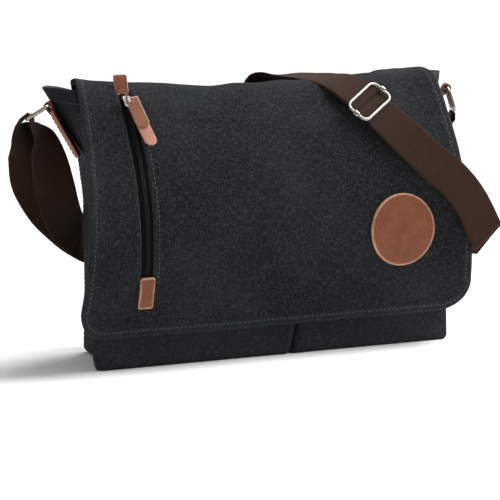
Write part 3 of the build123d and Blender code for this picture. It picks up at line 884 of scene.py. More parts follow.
def leather_plate(name, outline):
    """A leather piece lying on the flap: outline is (x, s) in order round a convex shape."""
    outline = np.asarray(outline, float)
    centre = outline.mean(axis=0)
    count = len(outline)
    reach = np.linalg.norm(outline - centre, axis=1, keepdims=True)
    direction = (outline - centre) / reach
    rings = [(0.0, -0.15), (0.0, LEATHER_T * 0.6), (0.3, LEATHER_T * 0.85), (0.8, LEATHER_T)]
    rings += [(SEWN_AT - 0.6, LEATHER_T), (SEWN_AT, LEATHER_T - 0.35), (SEWN_AT + 0.6, LEATHER_T)]
    last_inset = SEWN_AT + 1.4
    spots = [outline - direction * inset for inset, _ in rings]
    heights = [height for _, height in rings]
    for k in range(MIDDLE_RINGS):
        spots.append(centre + direction * (reach - last_inset) * (1 - k / MIDDLE_RINGS))
        heights.append(LEATHER_T)
    spots.append(centre[None])
    heights.append(LEATHER_T)
    vertices = [surface_near(at, LEATHER_LIFT + height) for at, height in zip(spots, heights)]
    last = len(rings) + MIDDLE_RINGS - 1
    faces = grid_faces(last + 1, count, wrap=True)
    ids = [1 if k < PALE_RINGS * count else 0 for k in range(len(faces))]
    for k in range(count):
        faces.append((last * count + k, last * count + (k + 1) % count, (last + 1) * count))
        ids.append(0)
    faces.append(tuple(range(count))[::-1])
    ids.append(1)
    uvs = np.concatenate(spots) * MM
    return new_object(name, np.concatenate(vertices), faces, uvs, ids, [leather, leather_edge])


PATCH_X = 124.0
PATCH_S = s_at_height(114.0)
PATCH_R = 34.4


def patch_ring(radius, angles):
    return [(PATCH_X + radius * math.cos(a), PATCH_S + radius * math.sin(a)) for a in angles]


patch = leather_plate("round_patch", patch_ring(PATCH_R, np.linspace(0, 2 * math.pi, 96, endpoint=False)))
place_piece(patch, "leather", "leather_patch")
patch_stitching = sew_on_leather(
    "patch_stitching", patch_ring(PATCH_R - SEWN_AT, np.linspace(0, 2 * math.pi, 140)), length=2.0, gap=1.1
)


def tab_outline(half, s_low, s_high, corner=2.2):
    """A tab with rounded corners, in (x, s)."""
    points = []
    for cx, cs, start in ((half, s_high, 0), (-half, s_high, 90), (-half, s_low, 180), (half, s_low, 270)):
        for angle in np.radians(np.linspace(start, start + 90, 6)):
            points.append((
                ZIP_X + cx - math.copysign(corner, cx) + corner * math.cos(angle),
                cs + (corner if cs == s_low else -corner) + corner * math.sin(angle),
            ))
    dense = []
    for k, point in enumerate(points):
        after = points[(k + 1) % len(points)]
        gap = math.dist(point, after)
        for t in np.linspace(0, 1, max(1, int(gap / 2.5)), endpoint=False):
            dense.append((point[0] + (after[0] - point[0]) * t, point[1] + (after[1] - point[1]) * t))
    return dense


TAB_LOW = S_SLOT_LOW - 27.0
TAB_HIGH = S_SLOT_LOW + 3.0
low_tab = leather_plate("leather_tab_bottom", tab_outline(7.4, TAB_LOW, TAB_HIGH))
place_piece(low_tab, "leather", "zip_tab_bottom")
tab_seam = tab_outline(7.4 - SEWN_AT, TAB_LOW + SEWN_AT, TAB_HIGH - SEWN_AT)
tab_seam.append(tab_seam[0])
flap_bending.append(low_tab)
flap_bending.append(sew_on_leather("zip_tab_bottom_stitching", tab_seam, length=1.9, gap=1.0, width=0.7))


def standing_tab():
    """The zip's top tab: it covers the slider's stop, follows the fold and stands up above it."""
    rows, half, length = 22, 7.0, 19.5
    start = flap_point(ZIP_X, s_at_height(247.6), 0.6)
    line = []
    for d in np.linspace(0, length, rows):
        turn = math.radians(52.0 + 30.0 * min(d / 7.0, 1.0))
        line.append((math.cos(turn), math.sin(turn)))
    steps = np.array(line) * (length / (rows - 1))
    y = start[1] + np.concatenate([[0], np.cumsum(steps[:-1, 0])])
    z = start[2] + np.concatenate([[0], np.cumsum(steps[:-1, 1])])
    columns = np.array([-7.0, -6.2, -5.8, -5.2, -4.6, -4.0, -2.0, 0, 2.0, 4.0, 4.6, 5.2, 5.8, 6.2, 7.0])
    grid = []
    for k in range(rows):
        d = length * k / (rows - 1)
        end = min(d, length - d)
        narrow = 2.0 - math.sqrt(max(0.0, 4.0 - (2.0 - min(end, 2.0)) ** 2))
        row = []
        for c in columns:
            x = c * (half - narrow) / half
            edge = min(half - abs(c), end)
            sink = 0.35 * math.exp(-edge / 0.4) + 0.3 * hump(edge - SEWN_AT, 0.5)
            row.append((ZIP_X + x - 0.06 * d, y[k] + sink * 0.8 + 0.05 * c, z[k] - sink * 0.5))
        grid.append(row)
    grid = np.array(grid)
    uv = np.stack([grid[:, :, 0], np.repeat(z[:, None], len(columns), axis=1)], axis=-1) * MM
    tab = thick_sheet("leather_tab_top", grid, LEATHER_T, uv, [leather, leather_edge, suede], 0.2)
    place_piece(tab, "leather", "zip_tab_top")
    seam = [(r, 4) for r in range(3, rows - 3)]
    seam += [(rows - 4, c) for c in range(4, 11)]
    seam += [(r, 10) for r in range(rows - 4, 2, -1)]
    path = np.array([grid[r, c] for r, c in seam])
    facing = np.tile((0, -0.9, 0.35), (len(path), 1))
    path += facing * 0.2
    return tab, stitches("zip_tab_top_stitching", path, facing, thread_tan, length=1.9, gap=1.0, width=0.7)


flap_bending += standing_tab()


# ---------------------------------------------------------------- body of the bag
# Points along each edge of the outline, and the columns where its corners fall.
PER_EDGE = (64, 15, 15, 54, 15, 15)
CORNER_NAMES = ("front_left", "front_right", "right_pinch", "back_right", "back_left", "left_pinch")
CORNER_COLUMNS = {name: sum(PER_EDGE[:k]) for k, name in enumerate(CORNER_NAMES)}


def body_loop(z, inset=0.0):
    """Closed outline of the body at a height, from the front left corner along the front."""
    front_y = body_front_y(z) + smooth_table(z, POCKET_DEPTH) + inset
    front = smooth_table(z, FRONT_HALF) - inset
    back = smooth_table(z, BACK_HALF) - inset
    left = -smooth_table(z, PINCH_LEFT) + inset
    right = smooth_table(z, PINCH_RIGHT) - inset
    back_y = smooth_table(z, BACK_Y) - inset
    bulge = float(np.interp(z, [0, 40, 150, 200], [7.0, 7.0, 3.0, 0.0]))
    corners = [
        (-front, front_y), (front + bulge, front_y), (right, PINCH_Y),
        (back, back_y), (-back, back_y), (left, PINCH_Y),
    ]
    loop = []
    for k, count in enumerate(PER_EDGE):
        a, b = np.array(corners[k]), np.array(corners[(k + 1) % 6])
        loop += [a + (b - a) * t for t in np.linspace(0, 1, count, endpoint=False)]
    loop = np.array(loop)
    for _ in range(3):
        loop = 0.25 * np.roll(loop, 1, axis=0) + 0.5 * loop + 0.25 * np.roll(loop, -1, axis=0)
    return loop


def loop_normals(loop):
    along = np.roll(loop, -1, axis=0) - np.roll(loop, 1, axis=0)
    normal = np.stack([along[:, 1], -along[:, 0]], axis=1)
    return normal / np.linalg.norm(normal, axis=1, keepdims=True)


LOOP_COUNT = sum(PER_EDGE)
girth = distances(np.concatenate([body_loop(120.0), body_loop(120.0)[:1]]))


def round_under(z, radius):
    """How far a rounded bottom edge draws in at a height."""
    return radius * (1 - math.sqrt(max(0.0, 1 - (1 - min(z, radius) / radius) ** 2)))


RIM_STITCH_Z = RIM_Z - 11.0


def body_row(z, inset=0.0):
    """One row of the body's cloth: points with their last column repeating the first."""
    loop = body_loop(z, inset)
    along, height = girth[:-1], np.full(LOOP_COUNT, z)
    push = 1.3 * bump_grid(along, height, 70.0, 11.0) + 0.7 * bump_grid(along, height, 28.0, 12.0)
    push *= min(1.0, z / 20.0) * (0.55 if z > 225 else 1.0)
    if inset == 0:
        push += 0.5 if z > RIM_STITCH_Z - 1.0 else 0.0
        push -= 0.45 * hump(z - RIM_STITCH_Z, 1.0)
    at = loop + loop_normals(loop) * (push - round_under(z, 7.0))[:, None]
    row = settle(np.concatenate([at, height[:, None]], axis=1))
    return np.concatenate([row, row[:1]])


# The cloth runs from the middle of the bottom up the outside, over the rim and down the inside as lining.
body_rows, body_v = [], []
heights = [0.0, 0.6, 1.6, 3.0, 5.0, 8.0, *np.linspace(12, 232, 46), 234.8, 236.0, 237.2, 241.0, 245.0, 246.6]
BODY_MIDDLE = np.array([0.0, -12.0, 0.0])
BOTTOM_SHARES = (0.02, 0.25, 0.5, 0.7, 0.85, 0.94)
for share in BOTTOM_SHARES:
    body_rows.append(BODY_MIDDLE + (body_row(0.0) - BODY_MIDDLE) * share)
    body_v.append(-60.0 * (1 - share))
for z in heights:
    body_rows.append(body_row(z))
    body_v.append(z)
outside = len(body_rows) - 1
rim = body_row(246.6, 0.9)
rim[:, 2] += 0.8
body_rows.append(rim)
body_v.append(248.0)
for z in list(np.linspace(245.5, 10.0, 40)) + [6.5]:
    body_rows.append(body_row(z, 2.3))
    body_v.append(500.0 - z)
inner_floor = body_rows[-1]
for share in (0.9, 0.6, 0.3, 0.02):
    row = BODY_MIDDLE + (inner_floor - BODY_MIDDLE) * share
    row[:, 2] = 5.6
    body_rows.append(row)
    body_v.append(500.0 + 50 * (1 - share))
body_grid = np.array(body_rows)
body_v = np.array(body_v)
columns = LOOP_COUNT + 1
faces = grid_faces(len(body_grid), columns)
ids = [0 if k < (outside + 1) * LOOP_COUNT else 1 for k in range(len(faces))]
body_uv = np.stack(np.meshgrid(girth, body_v), axis=-1).reshape(-1, 2) * MM
body = new_object("bag_body_cloth", body_grid.reshape(-1, 3), faces, body_uv, ids, [canvas, lining_cloth])
shell_nodes = ("back_panel", "front_panel", "left_gusset", "right_gusset", "bottom_panel", "lining")
place_piece(body, "canvas", *shell_nodes, body="shell")

SHELL_PAINTED_FILL = 0.25         # painted fill light: the shell's cloth is painted paler than the flap's, standing in for light on its sides and pockets in shade
# the shell's paleness: painted fill light all over, with real rubbed wear along its corners and rim
rub_and_painted_fill = np.full(body_grid.shape[:2], SHELL_PAINTED_FILL)
for column in CORNER_COLUMNS.values():
    rub_and_painted_fill += 0.35 * hump(np.arange(columns) - column, 1.1)[None, :]
rub_and_painted_fill += 0.5 * np.exp(-np.abs(body_v - 248.0) / 1.5)[:, None]
set_wear_and_painted_fill(body, rub_and_painted_fill.ravel())


outer_grid = body_grid[len(BOTTOM_SHARES):len(BOTTOM_SHARES) + len(heights)]
outer_normals = grid_normals(outer_grid)


def sew_on_body(name, path):
    """Stitches along (column, z) on the outside of the body."""
    spots, facing = [], []
    for column, z in path:
        i = min(max(np.searchsorted(heights, z) - 1, 0), len(heights) - 2)
        j = int(column) % LOOP_COUNT
        up, along = (z - heights[i]) / (heights[i + 1] - heights[i]), column - int(column)
        cell = outer_grid[i:i + 2, j:j + 2]
        low, high = (cell[k, 0] * (1 - along) + cell[k, 1] * along for k in (0, 1))
        spots.append(low * (1 - up) + high * up)
        facing.append(outer_normals[i, j])
    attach(stitches(name, spots, facing, thread_dark), "shell")


for name in ("front_left", "front_right", "back_right", "back_left"):
    for tag, side in SIDES.items():
        z_low = 152.0 if "front" in name else 12.0
        column = (CORNER_COLUMNS[name] + side * 1.6) % LOOP_COUNT
        sew_on_body(f"seam_{name}_{tag}", [(column, z) for z in np.linspace(z_low, 230, 120)])
sew_on_body("rim_stitching", [(c, RIM_STITCH_Z) for c in np.linspace(0.0, columns - 1.01, 600)])


# ---------------------------------------------------------------- pleated front pockets
# (share of the width, share of the depth) along a pocket's cloth: from behind the body's corner, round
# the corner and across the front to the middle seam.
POCKET_PATH = [(0.040, 1.40), (0.022, 1.22), (0.006, 1.0)]
POCKET_PATH += [(0.0, depth) for depth in (0.8, 0.55, 0.3, 0.1, 0.0)]
POCKET_PATH += [(t, 0.0) for t in (*np.linspace(0, 0.93, 46)[1:], *np.linspace(0.945, 1.0, 10))]
POCKET_HEM_Z = 139.2
POCKET_LEVELS = [0.2, 1.0, 2.5, 4.5, 7.0, *np.linspace(11, 132, 26)]
POCKET_LEVELS += [136.0, 138.0, POCKET_HEM_Z, 140.4, 144.0, 148.5, 150.0]


def seam_x(z):
    """The middle seam leans to the right as it climbs, then runs straight."""
    return SEAM_X - 5.0 + 10.0 * min(z, ROUND_Z) / ROUND_Z


def pocket_grid(side):
    """The pocket's outer face; side −1 is left of the seam and 1 is right of it."""
    rows, uvs = [], []
    for z in POCKET_LEVELS:
        front_y = body_front_y(z)
        depth = smooth_table(z, POCKET_DEPTH)
        bulge = 8.0 - 3.0 * z / 150.0 if side > 0 else 0.0
        outer_x = side * (smooth_table(z, FRONT_HALF) + 0.8 + bulge)
        seam = seam_x(z) + side * 0.35
        under = round_under(z, 6.0)
        hem = (0.5 if z > POCKET_HEM_Z else 0.0) - 0.5 * hump(z - POCKET_HEM_Z, 0.9)
        line = []
        for share, back in POCKET_PATH:
            x = outer_x + (seam - outer_x) * share
            from_seam = abs(x - seam)
            dip = 4.5 * math.exp(-from_seam / 1.7) - 0.9 * hump(from_seam - 7.0, 5.0)
            crumple = 1.1 * bumpy(x, z, 55.0, 21.0 + side) + 0.5 * bumpy(x, z, 22.0, 23.0 + side)
            stand = (hem + crumple * (1 - back) * min(1, z / 12.0)) if back < 1 else 0.0
            y = front_y + depth * back + dip - stand + under * max(1 - back, 0.0) * 0.8
            line.append((x - side * under * 0.5 * (1 if back > 0 or share == 0 else 0), y, z))
        line = np.array(line)
        for _ in range(3):
            line[1:-1] = 0.25 * line[:-2] + 0.5 * line[1:-1] + 0.25 * line[2:]
        rows.append(line)
        uvs.append(np.stack([side * (220 - distances(line)), np.full(len(line), z)], axis=1))
    rows, uvs = np.array(rows), np.array(uvs)
    if side > 0:
        rows, uvs = rows[:, ::-1], uvs[:, ::-1]
    return rows, uvs


for tag, width in (("left", 0.235), ("right", 0.195)):
    name = f"front_pocket_{tag}"
    rows, uvs = pocket_grid(SIDES[tag])
    pocket = thick_sheet(f"{name}_cloth", rows, 2.0, uvs * MM, [canvas, lining_cloth])
    # the pockets get the same painted fill light, painted paler as if lit in the flap's shade
    set_wear_and_painted_fill(pocket, np.full(len(pocket.data.vertices), SHELL_PAINTED_FILL))
    place_piece(pocket, "canvas", name, f"pocket_end_{tag}", body="shell")
    hem = stitches(f"{name}_hem_stitching", rows[-4, 2:-2], grid_normals(rows)[-4, 2:-2], thread_dark)
    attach(hem, "shell")

divider_rows = []
for z in np.linspace(2, 148, 30):
    front_y = body_front_y(z)
    depth = smooth_table(z, POCKET_DEPTH)
    across = np.linspace(front_y + 3.0, front_y + depth - 0.2, 5)
    divider_rows.append([(seam_x(z) + 0.5, y, z) for y in across])
divider_rows = np.array(divider_rows)
divider_uvs = divider_rows[:, :, 1:] * MM
pocket_divider = thick_sheet("pocket_divider_cloth", divider_rows, 1.0, divider_uvs, [canvas])
place_piece(pocket_divider, "canvas", "pocket_divider", body="shell")


# ---------------------------------------------------------------- webbing and leather straps
def sweep_band(name, stations, width, thickness, material, spacing=3.0, offset=0.0, twist_wave=0.35, seed=0):
    """A flat band through stations of (centre, direction across); its UVs run across it and along it."""
    control = np.array([centre for centre, _ in stations], float)
    acrosses = np.array([across for _, across in stations], float)
    count = max(8, int(distances(control)[-1] / spacing))
    line = curve_through(control, count)
    station_at = [int(np.argmin(np.linalg.norm(line - c, axis=1))) for c in control]
    station_at[0], station_at[-1] = 0, count - 1
    across = np.stack([np.interp(np.arange(count), station_at, acrosses[:, k]) for k in range(3)], axis=1)
    tangent = np.gradient(line, axis=0)
    tangent /= np.linalg.norm(tangent, axis=1, keepdims=True)
    across -= tangent * (across * tangent).sum(axis=1, keepdims=True)
    across /= np.linalg.norm(across, axis=1, keepdims=True)
    normal = np.cross(tangent, across)
    distance = distances(line)
    half, t = width / 2, thickness / 2
    top = [(-half, 0.0), (-half + 0.25, t * 0.7), (-half + 0.9, t)]
    for x in np.linspace(-half + 3, half - 3, 9):
        top.append((x, t * (1.0 - 0.10 * math.cos(math.pi * x / half))))
    top += [(half - 0.9, t), (half - 0.25, t * 0.7), (half, 0.0)]
    section = top + [(x, -h) for x, h in top[-2:0:-1]]
    sides = len(section)
    vertices, uvs = [], []
    for k in range(count):
        wobble = twist_wave * bumpy(distance[k], 0, 34.0, seed)
        shift = offset(distance[k]) if callable(offset) else offset
        for x, h in section:
            edge = 0.35 * twist_wave * bumpy(distance[k], x, 17.0, seed + 3.0) * abs(x) / half
            vertices.append(line[k] + across[k] * x + normal[k] * (h + shift + wobble + edge))
            uvs.append((x + (0 if h >= 0 else 60.0), distance[k]))
    faces = grid_faces(count, sides, wrap=True)
    faces.append(tuple(range(sides))[::-1])
    faces.append(tuple((count - 1) * sides + s for s in range(sides)))
    return new_object(name, vertices, faces, np.array(uvs) * MM, None, [material])


WEB_W = 38.0
WEB_T = 1.7
LAYER_OFF = 0.95         # from the middle of a doubled strap to the middle of each layer


def strap_piece(name, stations, flat_length, held, seed, on=(), narrower=0.0, **options):
    """One run of the shoulder strap; its flat length, in metres, is not used."""
    obj = sweep_band(name, stations, WEB_W - narrower, WEB_T, webbing, seed=seed, **options)
    return obj


def square_to(vector, axis):
    """The part of a vector square to a unit axis."""
    vector = np.array(vector, float)
    return vector - axis * vector.dot(axis)


RING_REACH = 22.0        # from a ring's inner bar, in the chape, to its outer bar, in the strap


def ring_place(bar_at, bar_dir, reach, foot):
    """Where a ring's inner bar is, the way it runs, the way the ring points and where its chape ends."""
    bar_dir = unit(np.array(bar_dir))
    reach = unit(square_to(reach, bar_dir))
    outer = bar_at + reach * RING_REACH
    return {"bar": np.array(bar_at), "dir": bar_dir, "reach": reach, "foot": np.array(foot), "outer": outer}


left_place = ring_place((-202, -3, 239), (0.46, 0.88, -0.05), (-0.80, 0.29, -0.52), (-169, -5, 186))
right_place = ring_place((222, -3, 238), (0.46, 0.88, -0.05), (0.29, -0.10, -0.957), (171, -3, 189))


def wrap_stations(place, start, end, radius=3.1, count=7):
    """Stations round a ring's outer bar from start to end, on the side towards the ring's inside."""
    centre = place["outer"]
    inward = unit(square_to(-place["reach"], place["dir"]))
    round_it = np.cross(place["dir"], inward)
    arms = [np.array(point, float) - centre for point in (start, end)]
    first, last = (math.atan2(arm.dot(round_it), arm.dot(inward)) for arm in arms)
    stations = []
    for a in np.linspace(first, last, count + 2)[1:-1]:
        stations.append((centre + radius * (math.cos(a) * inward + math.sin(a) * round_it), place["dir"]))
    return stations


# Each station of the strap is a point on its middle line and the direction across the webbing there.


back_run = [
    ((37, 46.5, 228), (-0.97, 0, 0.22)),
    ((26, 49, 190), (-0.90, 0.10, 0.42)),
    ((4, 55, 142), (-0.70, 0.25, 0.67)),
    ((-32, 60, 106), (-0.35, 0.40, 0.85)),
    ((-80, 62, 92), (0, 0.50, 0.87)),
    ((-126, 58, 96), (0.32, 0.42, 0.85)),
    ((-151, 50.5, 108), (0.60, 0.15, 0.76)),
]
left_outer = [
    ((-174, 38, 124.5), (0.71, -0.10, 0.68)),
    ((-194, 28, 142), (0.82, -0.06, 0.57)),
    ((-211, 21, 168), (0.96, -0.12, 0.26)),
    ((-219, 13, 197), (0.99, 0.16, -0.03)),
    ((-226.5, 7, 216), (0.74, 0.66, -0.12)),
    ((-226, 5.6, 225), (0.50, 0.86, -0.05)),
]
left_inner = [
    ((-215.6, 2.4, 221), (0.50, 0.86, -0.05)),
    ((-207, 2, 207), (0.86, 0.48, -0.10)),
    ((-197, 8, 183), (0.99, 0.16, -0.03)),
    ((-188, 16, 158), (0.97, -0.20, 0.12)),
    ((-178, 26, 137), (0.85, -0.20, 0.48)),
    ((-164, 40, 119), (0.70, -0.05, 0.68)),
    ((-150, 47.6, 108.5), (0.60, 0.15, 0.76)),
]
loop_over = wrap_stations(left_place, left_outer[-1][0], left_inner[0][0])


def outer_layer(distance):
    """The upper of the two layers behind the bag becomes the single layer of the loop."""
    return LAYER_OFF * float(ease((330.0 - distance) / 60.0))


strap_left = strap_piece(
    "strap_left_and_back", back_run + left_outer + loop_over + left_inner, 0.615, "hung", 19,
    on=[body], twist_wave=0.2, offset=outer_layer,
)
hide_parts("strap_left_outer", "strap_left_inner", "strap_back")
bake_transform(strap_left)
strap_under = strap_piece("strap_back_under", back_run, 0.280, "hung", 16, on=[body], offset=-LAYER_OFF)
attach(strap_under, "shell")

RUN = np.array([0.559, -0.564, -0.609])          # the way the strap runs through the adjuster
adjuster_at = np.array([104.2, -55.0, 232.0])
UNDER_FRAME = (0.826, 0.329, 0.451)              # across the strap there

over_top = [
    ((37, 46.5, 228), (0.97, 0, -0.22)),
    ((41, 46.6, 238), (0.97, 0.02, -0.20)),
    ((46, 44.0, 247), (0.96, 0.10, -0.15)),
    ((58, 31, 253.0), (0.92, 0.28, 0)),
    ((70, 6, 253.5), (0.88, 0.44, 0.06)),
    ((78, -16, 253.0), (0.86, 0.42, 0.14)),
    ((86, -33, 250.0), (0.84, 0.36, 0.30)),
    (adjuster_at - 15 * RUN, (0.83, 0.33, 0.42)),
    (adjuster_at - 9 * RUN, UNDER_FRAME),
    (adjuster_at - 2 * RUN, UNDER_FRAME),
]
top_layers = []
for tag, seed, offset, narrower in (("upper", 18, LAYER_OFF, 0.0), ("under", 19, -LAYER_OFF, 0.6)):
    top_layers.append(strap_piece(
        f"strap_over_top_run_{tag}", over_top, 0.145, "laid", seed,
        on=[flap_top], offset=offset, narrower=narrower,
    ))
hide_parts("strap_over_top")

front_run = [
    (adjuster_at - 6 * RUN, UNDER_FRAME),
    (adjuster_at, UNDER_FRAME),
    (adjuster_at + 10 * RUN, UNDER_FRAME),
    ((129.5, -72, 205.0), (0.79, 0.18, 0.58)),
    ((156, -84, 178), (0.77, 0.10, 0.63)),
    ((178, -91, 158), (0.75, 0.08, 0.66)),
    ((195, -95.5, 136), (0.73, 0.08, 0.68)),
    ((209, -98, 108), (0.70, 0, 0.71)),
    ((213, -97.4, 102), (0.70, 0, 0.71)),
]
strap_front = strap_piece("strap_front_run", front_run, 0.185, "hung", 15, on=[flap_front])
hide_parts("strap_front")
for obj in (*top_layers, strap_front):
    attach(obj, "shell")
    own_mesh(obj)

right_run = [
    ((213, -97.4, 102), (0.70, 0, 0.71)),
    ((216.5, -91, 99.5), (0.70, 0, 0.71)),
    ((218, -80, 98.5), (0.70, 0, 0.71)),
    ((219, -60, 98), (0.71, 0, 0.70)),
    ((220, -25, 97), (0.60, 0.10, 0.79)),
    ((221, 0, 112), (0.60, -0.55, 0.50)),
    ((220, 8, 147), (0.30, -0.94, 0.10)),
    ((220.5, 4, 178), (-0.20, -0.97, 0)),
    ((226.5, -2.0, 200), (-0.46, -0.88, 0.05)),
]
RIGHT_ACROSS = (-0.46, -0.88, 0.05)
loop_right = wrap_stations(right_place, (231.5, -3.8, 209), (222.5, -5, 211))
loop_right = [(point, RIGHT_ACROSS) for point, _ in loop_right]
right_tail = [
    ((221.5, -4.2, 203), RIGHT_ACROSS),
    ((220.4, -0.8, 190), (-0.34, -0.94, 0)),
    ((218.1, 3.4, 176), (-0.20, -0.97, 0)),
]
strap_right = strap_piece(
    "strap_right_run", right_run + loop_right + right_tail, 0.270, "hung", 15, twist_wave=0.2
)
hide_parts("strap_right")
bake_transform(strap_right)


CHAPE_SEAM = 13.8        # from the middle of a chape to its stitching


def leather_chape(side, place):
    """A leather band folded round the ring's inner bar, with a pale core that shows as its cut edge."""
    bar, along = place["bar"], place["dir"]
    down = square_to(place["foot"] - bar, along)
    length = np.linalg.norm(down) - 7.0
    down = unit(down)
    outward = np.cross(along, down)
    outward *= math.copysign(1.0, outward[0] * bar[0])
    leg = [(length, 0.97), (length * 0.6, 0.97), (11.0, 0.97), (7.0, 1.5)]
    stations = [(bar + down * d + outward * h, along) for d, h in leg]
    for angle in np.radians([70, 35, 0, -35, -70]):
        stations.append((bar + 3.0 * (math.sin(angle) * outward - math.cos(angle) * down), along))
    stations += [(bar + down * d - outward * h, along) for d, h in leg[::-1]]
    chape = sweep_band(f"{side}_chape_leather", stations, 34.0, 1.9, leather, 2.0, twist_wave=0.0)
    place_piece(chape, "leather", f"{side}_chape", body="shell")
    core = [(bar + down * d, along) for d in (5.5, 14.0, length * 0.6, length + 0.2)]
    core = sweep_band(f"{side}_chape_burnished_edge", core, 34.5, 3.2, leather_edge, 2.0, twist_wave=0.0)
    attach(core, "shell")
    for tag, edge in (("front", -1), ("back", 1)):
        top, low = (bar + down * d + along * edge * CHAPE_SEAM + outward * 2.1 for d in (10, length - 3))
        path = np.linspace(top, low, 30)
        sewn = stitches(f"{side}_chape_stitching_{tag}", path, np.tile(outward, (30, 1)), thread_tan)
        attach(sewn, "shell")


leather_chape("left", left_place)
leather_chape("right", right_place)


# ---------------------------------------------------------------- metal fittings
def metal_copy(node, bevel):
    """The node's own shape with rounded edges and smooth shading; the body that carries it has its name."""
    source = frame["nodes"][node]
    obj = source.copy()
    obj.data = source.data.copy()
    obj.name = f"{node}_metal"
    obj.parent = None
    obj.modifiers.clear()
    for key in list(obj.keys()):
        del obj[key]
    obj.hide_render = False
    obj.hide_viewport = False
    bpy.context.scene.collection.objects.link(obj)
    obj.matrix_world = source.matrix_world.copy()
    obj.data.materials.clear()
    obj.data.materials.append(nickel)
    if bevel:
        edge = obj.modifiers.new("edge", "BEVEL")
        edge.width = bevel * MM
        edge.segments = 3
        edge.limit_method = "ANGLE"
        edge.angle_limit = math.radians(35)
    obj.data.polygons.foreach_set("use_smooth", [True] * len(obj.data.polygons))
    place_piece(obj, "nickel", node, body=node)


for node, bevel in {"left_ring": 0.0, "right_ring": 0.0, "zip_slider": 0.3, "pull_ring": 0.35}.items():
    metal_copy(node, bevel)

# The adjuster's own axes: across the webbing, along it and out of it.
run = unit(RUN)
adjuster_across = unit(square_to(UNDER_FRAME, run))
adjuster_out = np.cross(run, adjuster_across)
adjuster_out *= -math.copysign(1.0, adjuster_out[1])
FRAME_WIRE = 1.6
FRAME_HALF_LONG = 23.5 - FRAME_WIRE
FRAME_HALF_SHORT = 13.5 - FRAME_WIRE
FRAME_CORNER = 6.5


def adjuster_place(across, along, out):
    return adjuster_at + adjuster_across * across + run * along + adjuster_out * out


def adjuster_part(name, path, radius, sides, *replaced, closed=False):
    obj = tube(name, path, radius, nickel, sides, closed)
    place_piece(obj, "nickel", *replaced, body="strap_adjuster")
    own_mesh(obj)


frame_path = []
for sx, sy, start in ((1, 1, 0), (-1, 1, 90), (-1, -1, 180), (1, -1, 270)):
    for angle in np.radians(np.linspace(start, start + 90, 9)):
        a = sx * (FRAME_HALF_LONG - FRAME_CORNER) + FRAME_CORNER * math.cos(angle)
        b = sy * (FRAME_HALF_SHORT - FRAME_CORNER) + FRAME_CORNER * math.sin(angle)
        frame_path.append(adjuster_place(a, b, 2.5))
adjuster_part("adjuster_frame_wire", frame_path, FRAME_WIRE, 14, "adjuster_frame", closed=True)
half_bar = [(22.0, 2.5), (21.2, 0.9), (20.4, -0.8), (19.0, -2.2), (16.0, -2.6)]
bar_line = [(-a, out) for a, out in half_bar] + [(0, -2.6)] + half_bar[::-1]
bar_path = [adjuster_place(a, 0, out) for a, out in bar_line]
adjuster_part("adjuster_middle_bar", bar_path, 1.3, 12, "adjuster_bar")
for name, side in (("low", -1), ("high", 1)):
    boss = [adjuster_place(side * (FRAME_HALF_LONG + 0.3), b, 2.6) for b in np.linspace(-2.6, 2.6, 5)]
    adjuster_part(f"adjuster_boss_{name}", boss, 3.0, 16)


# ---------------------------------------------------------------- leather pull
SLIDER_ANGLE = math.radians(37.7)
slide_down = np.array([0, -math.sin(SLIDER_ANGLE), -math.cos(SLIDER_ANGLE)])
slide_out = np.array([0, -math.cos(SLIDER_ANGLE), math.sin(SLIDER_ANGLE)])
slider_at = np.array([ZIP_X, ARC_Y, ARC_Z]) + slide_out * (ARC_R + 1.6)
pull_at = slider_at + slide_out * 3.7 + slide_down * 6.5
tilt, lean = math.radians(9.5), math.radians(4.0)
hang = slide_down * math.cos(tilt) + np.array([1.0, 0, 0]) * math.sin(tilt)
hang = hang * math.cos(lean) - slide_out * math.sin(lean)
pull_across = unit(np.cross(hang, slide_out))
pull_out = np.cross(pull_across, hang)
PULL_W = 13.0
PULL_ASIDE = -4.8        # the blade hangs a little to the right of its ring
PULL_UP = -13.0          # the blade's square end covers the ring and half of the slider
ACROSS_SHARES = [-1.0, -0.87, -0.80, -0.72, -0.62, -0.52, -0.25, 0, 0.25, 0.52, 0.62, 0.72, 0.80, 0.87, 1.0]


def pull_spot(along, across, out):
    return pull_at + hang * (5.0 + along) + pull_across * (across + PULL_ASIDE) + pull_out * out


def pull_blade(name, node, length, low, thick, face):
    """A blade of leather, square at the ring and round at its free end, with pale burnished edges."""
    half = PULL_W / 2
    along = [PULL_UP, PULL_UP + 0.8, PULL_UP + 1.3, PULL_UP + 1.8, PULL_UP + 2.8]
    along += list(np.linspace(PULL_UP + 4.5, length - half, 16))
    along += [length - half + half * math.sin(a) for a in np.linspace(0, math.pi / 2, 12)[1:]]
    rows, uvs = [], []
    for a in along:
        to_end = length - a
        width = half
        if to_end < half:
            width = math.sqrt(max(half ** 2 - (half - to_end) ** 2, 0.01))
        width -= 1.4 * (1 - min((a - PULL_UP) / 1.8, 1.0)) ** 2
        for share in ACROSS_SHARES:
            y = width * share
            from_edge = min(half - math.hypot(max(half - to_end, 0.0), y), to_end, a - PULL_UP + 0.2)
            sink = 0.45 * math.exp(-max(from_edge, 0.0) / 0.35)
            lift = 1.6 * (max(a, 0.0) / 40.0) ** 2 + 0.2 * bumpy(a, y, 12.0, low)
            rows.append(pull_spot(a, y, low + thick + lift - sink))
            uvs.append((y, a))
    shape = (len(along), len(ACROSS_SHARES))
    rows = np.array(rows).reshape(*shape, 3)
    uvs = np.array(uvs).reshape(*shape, 2) * MM
    obj = thick_sheet(name, rows, thick, uvs, [face, leather_edge, suede], 0.15)
    place_piece(obj, "leather", node, body="leather_pull")


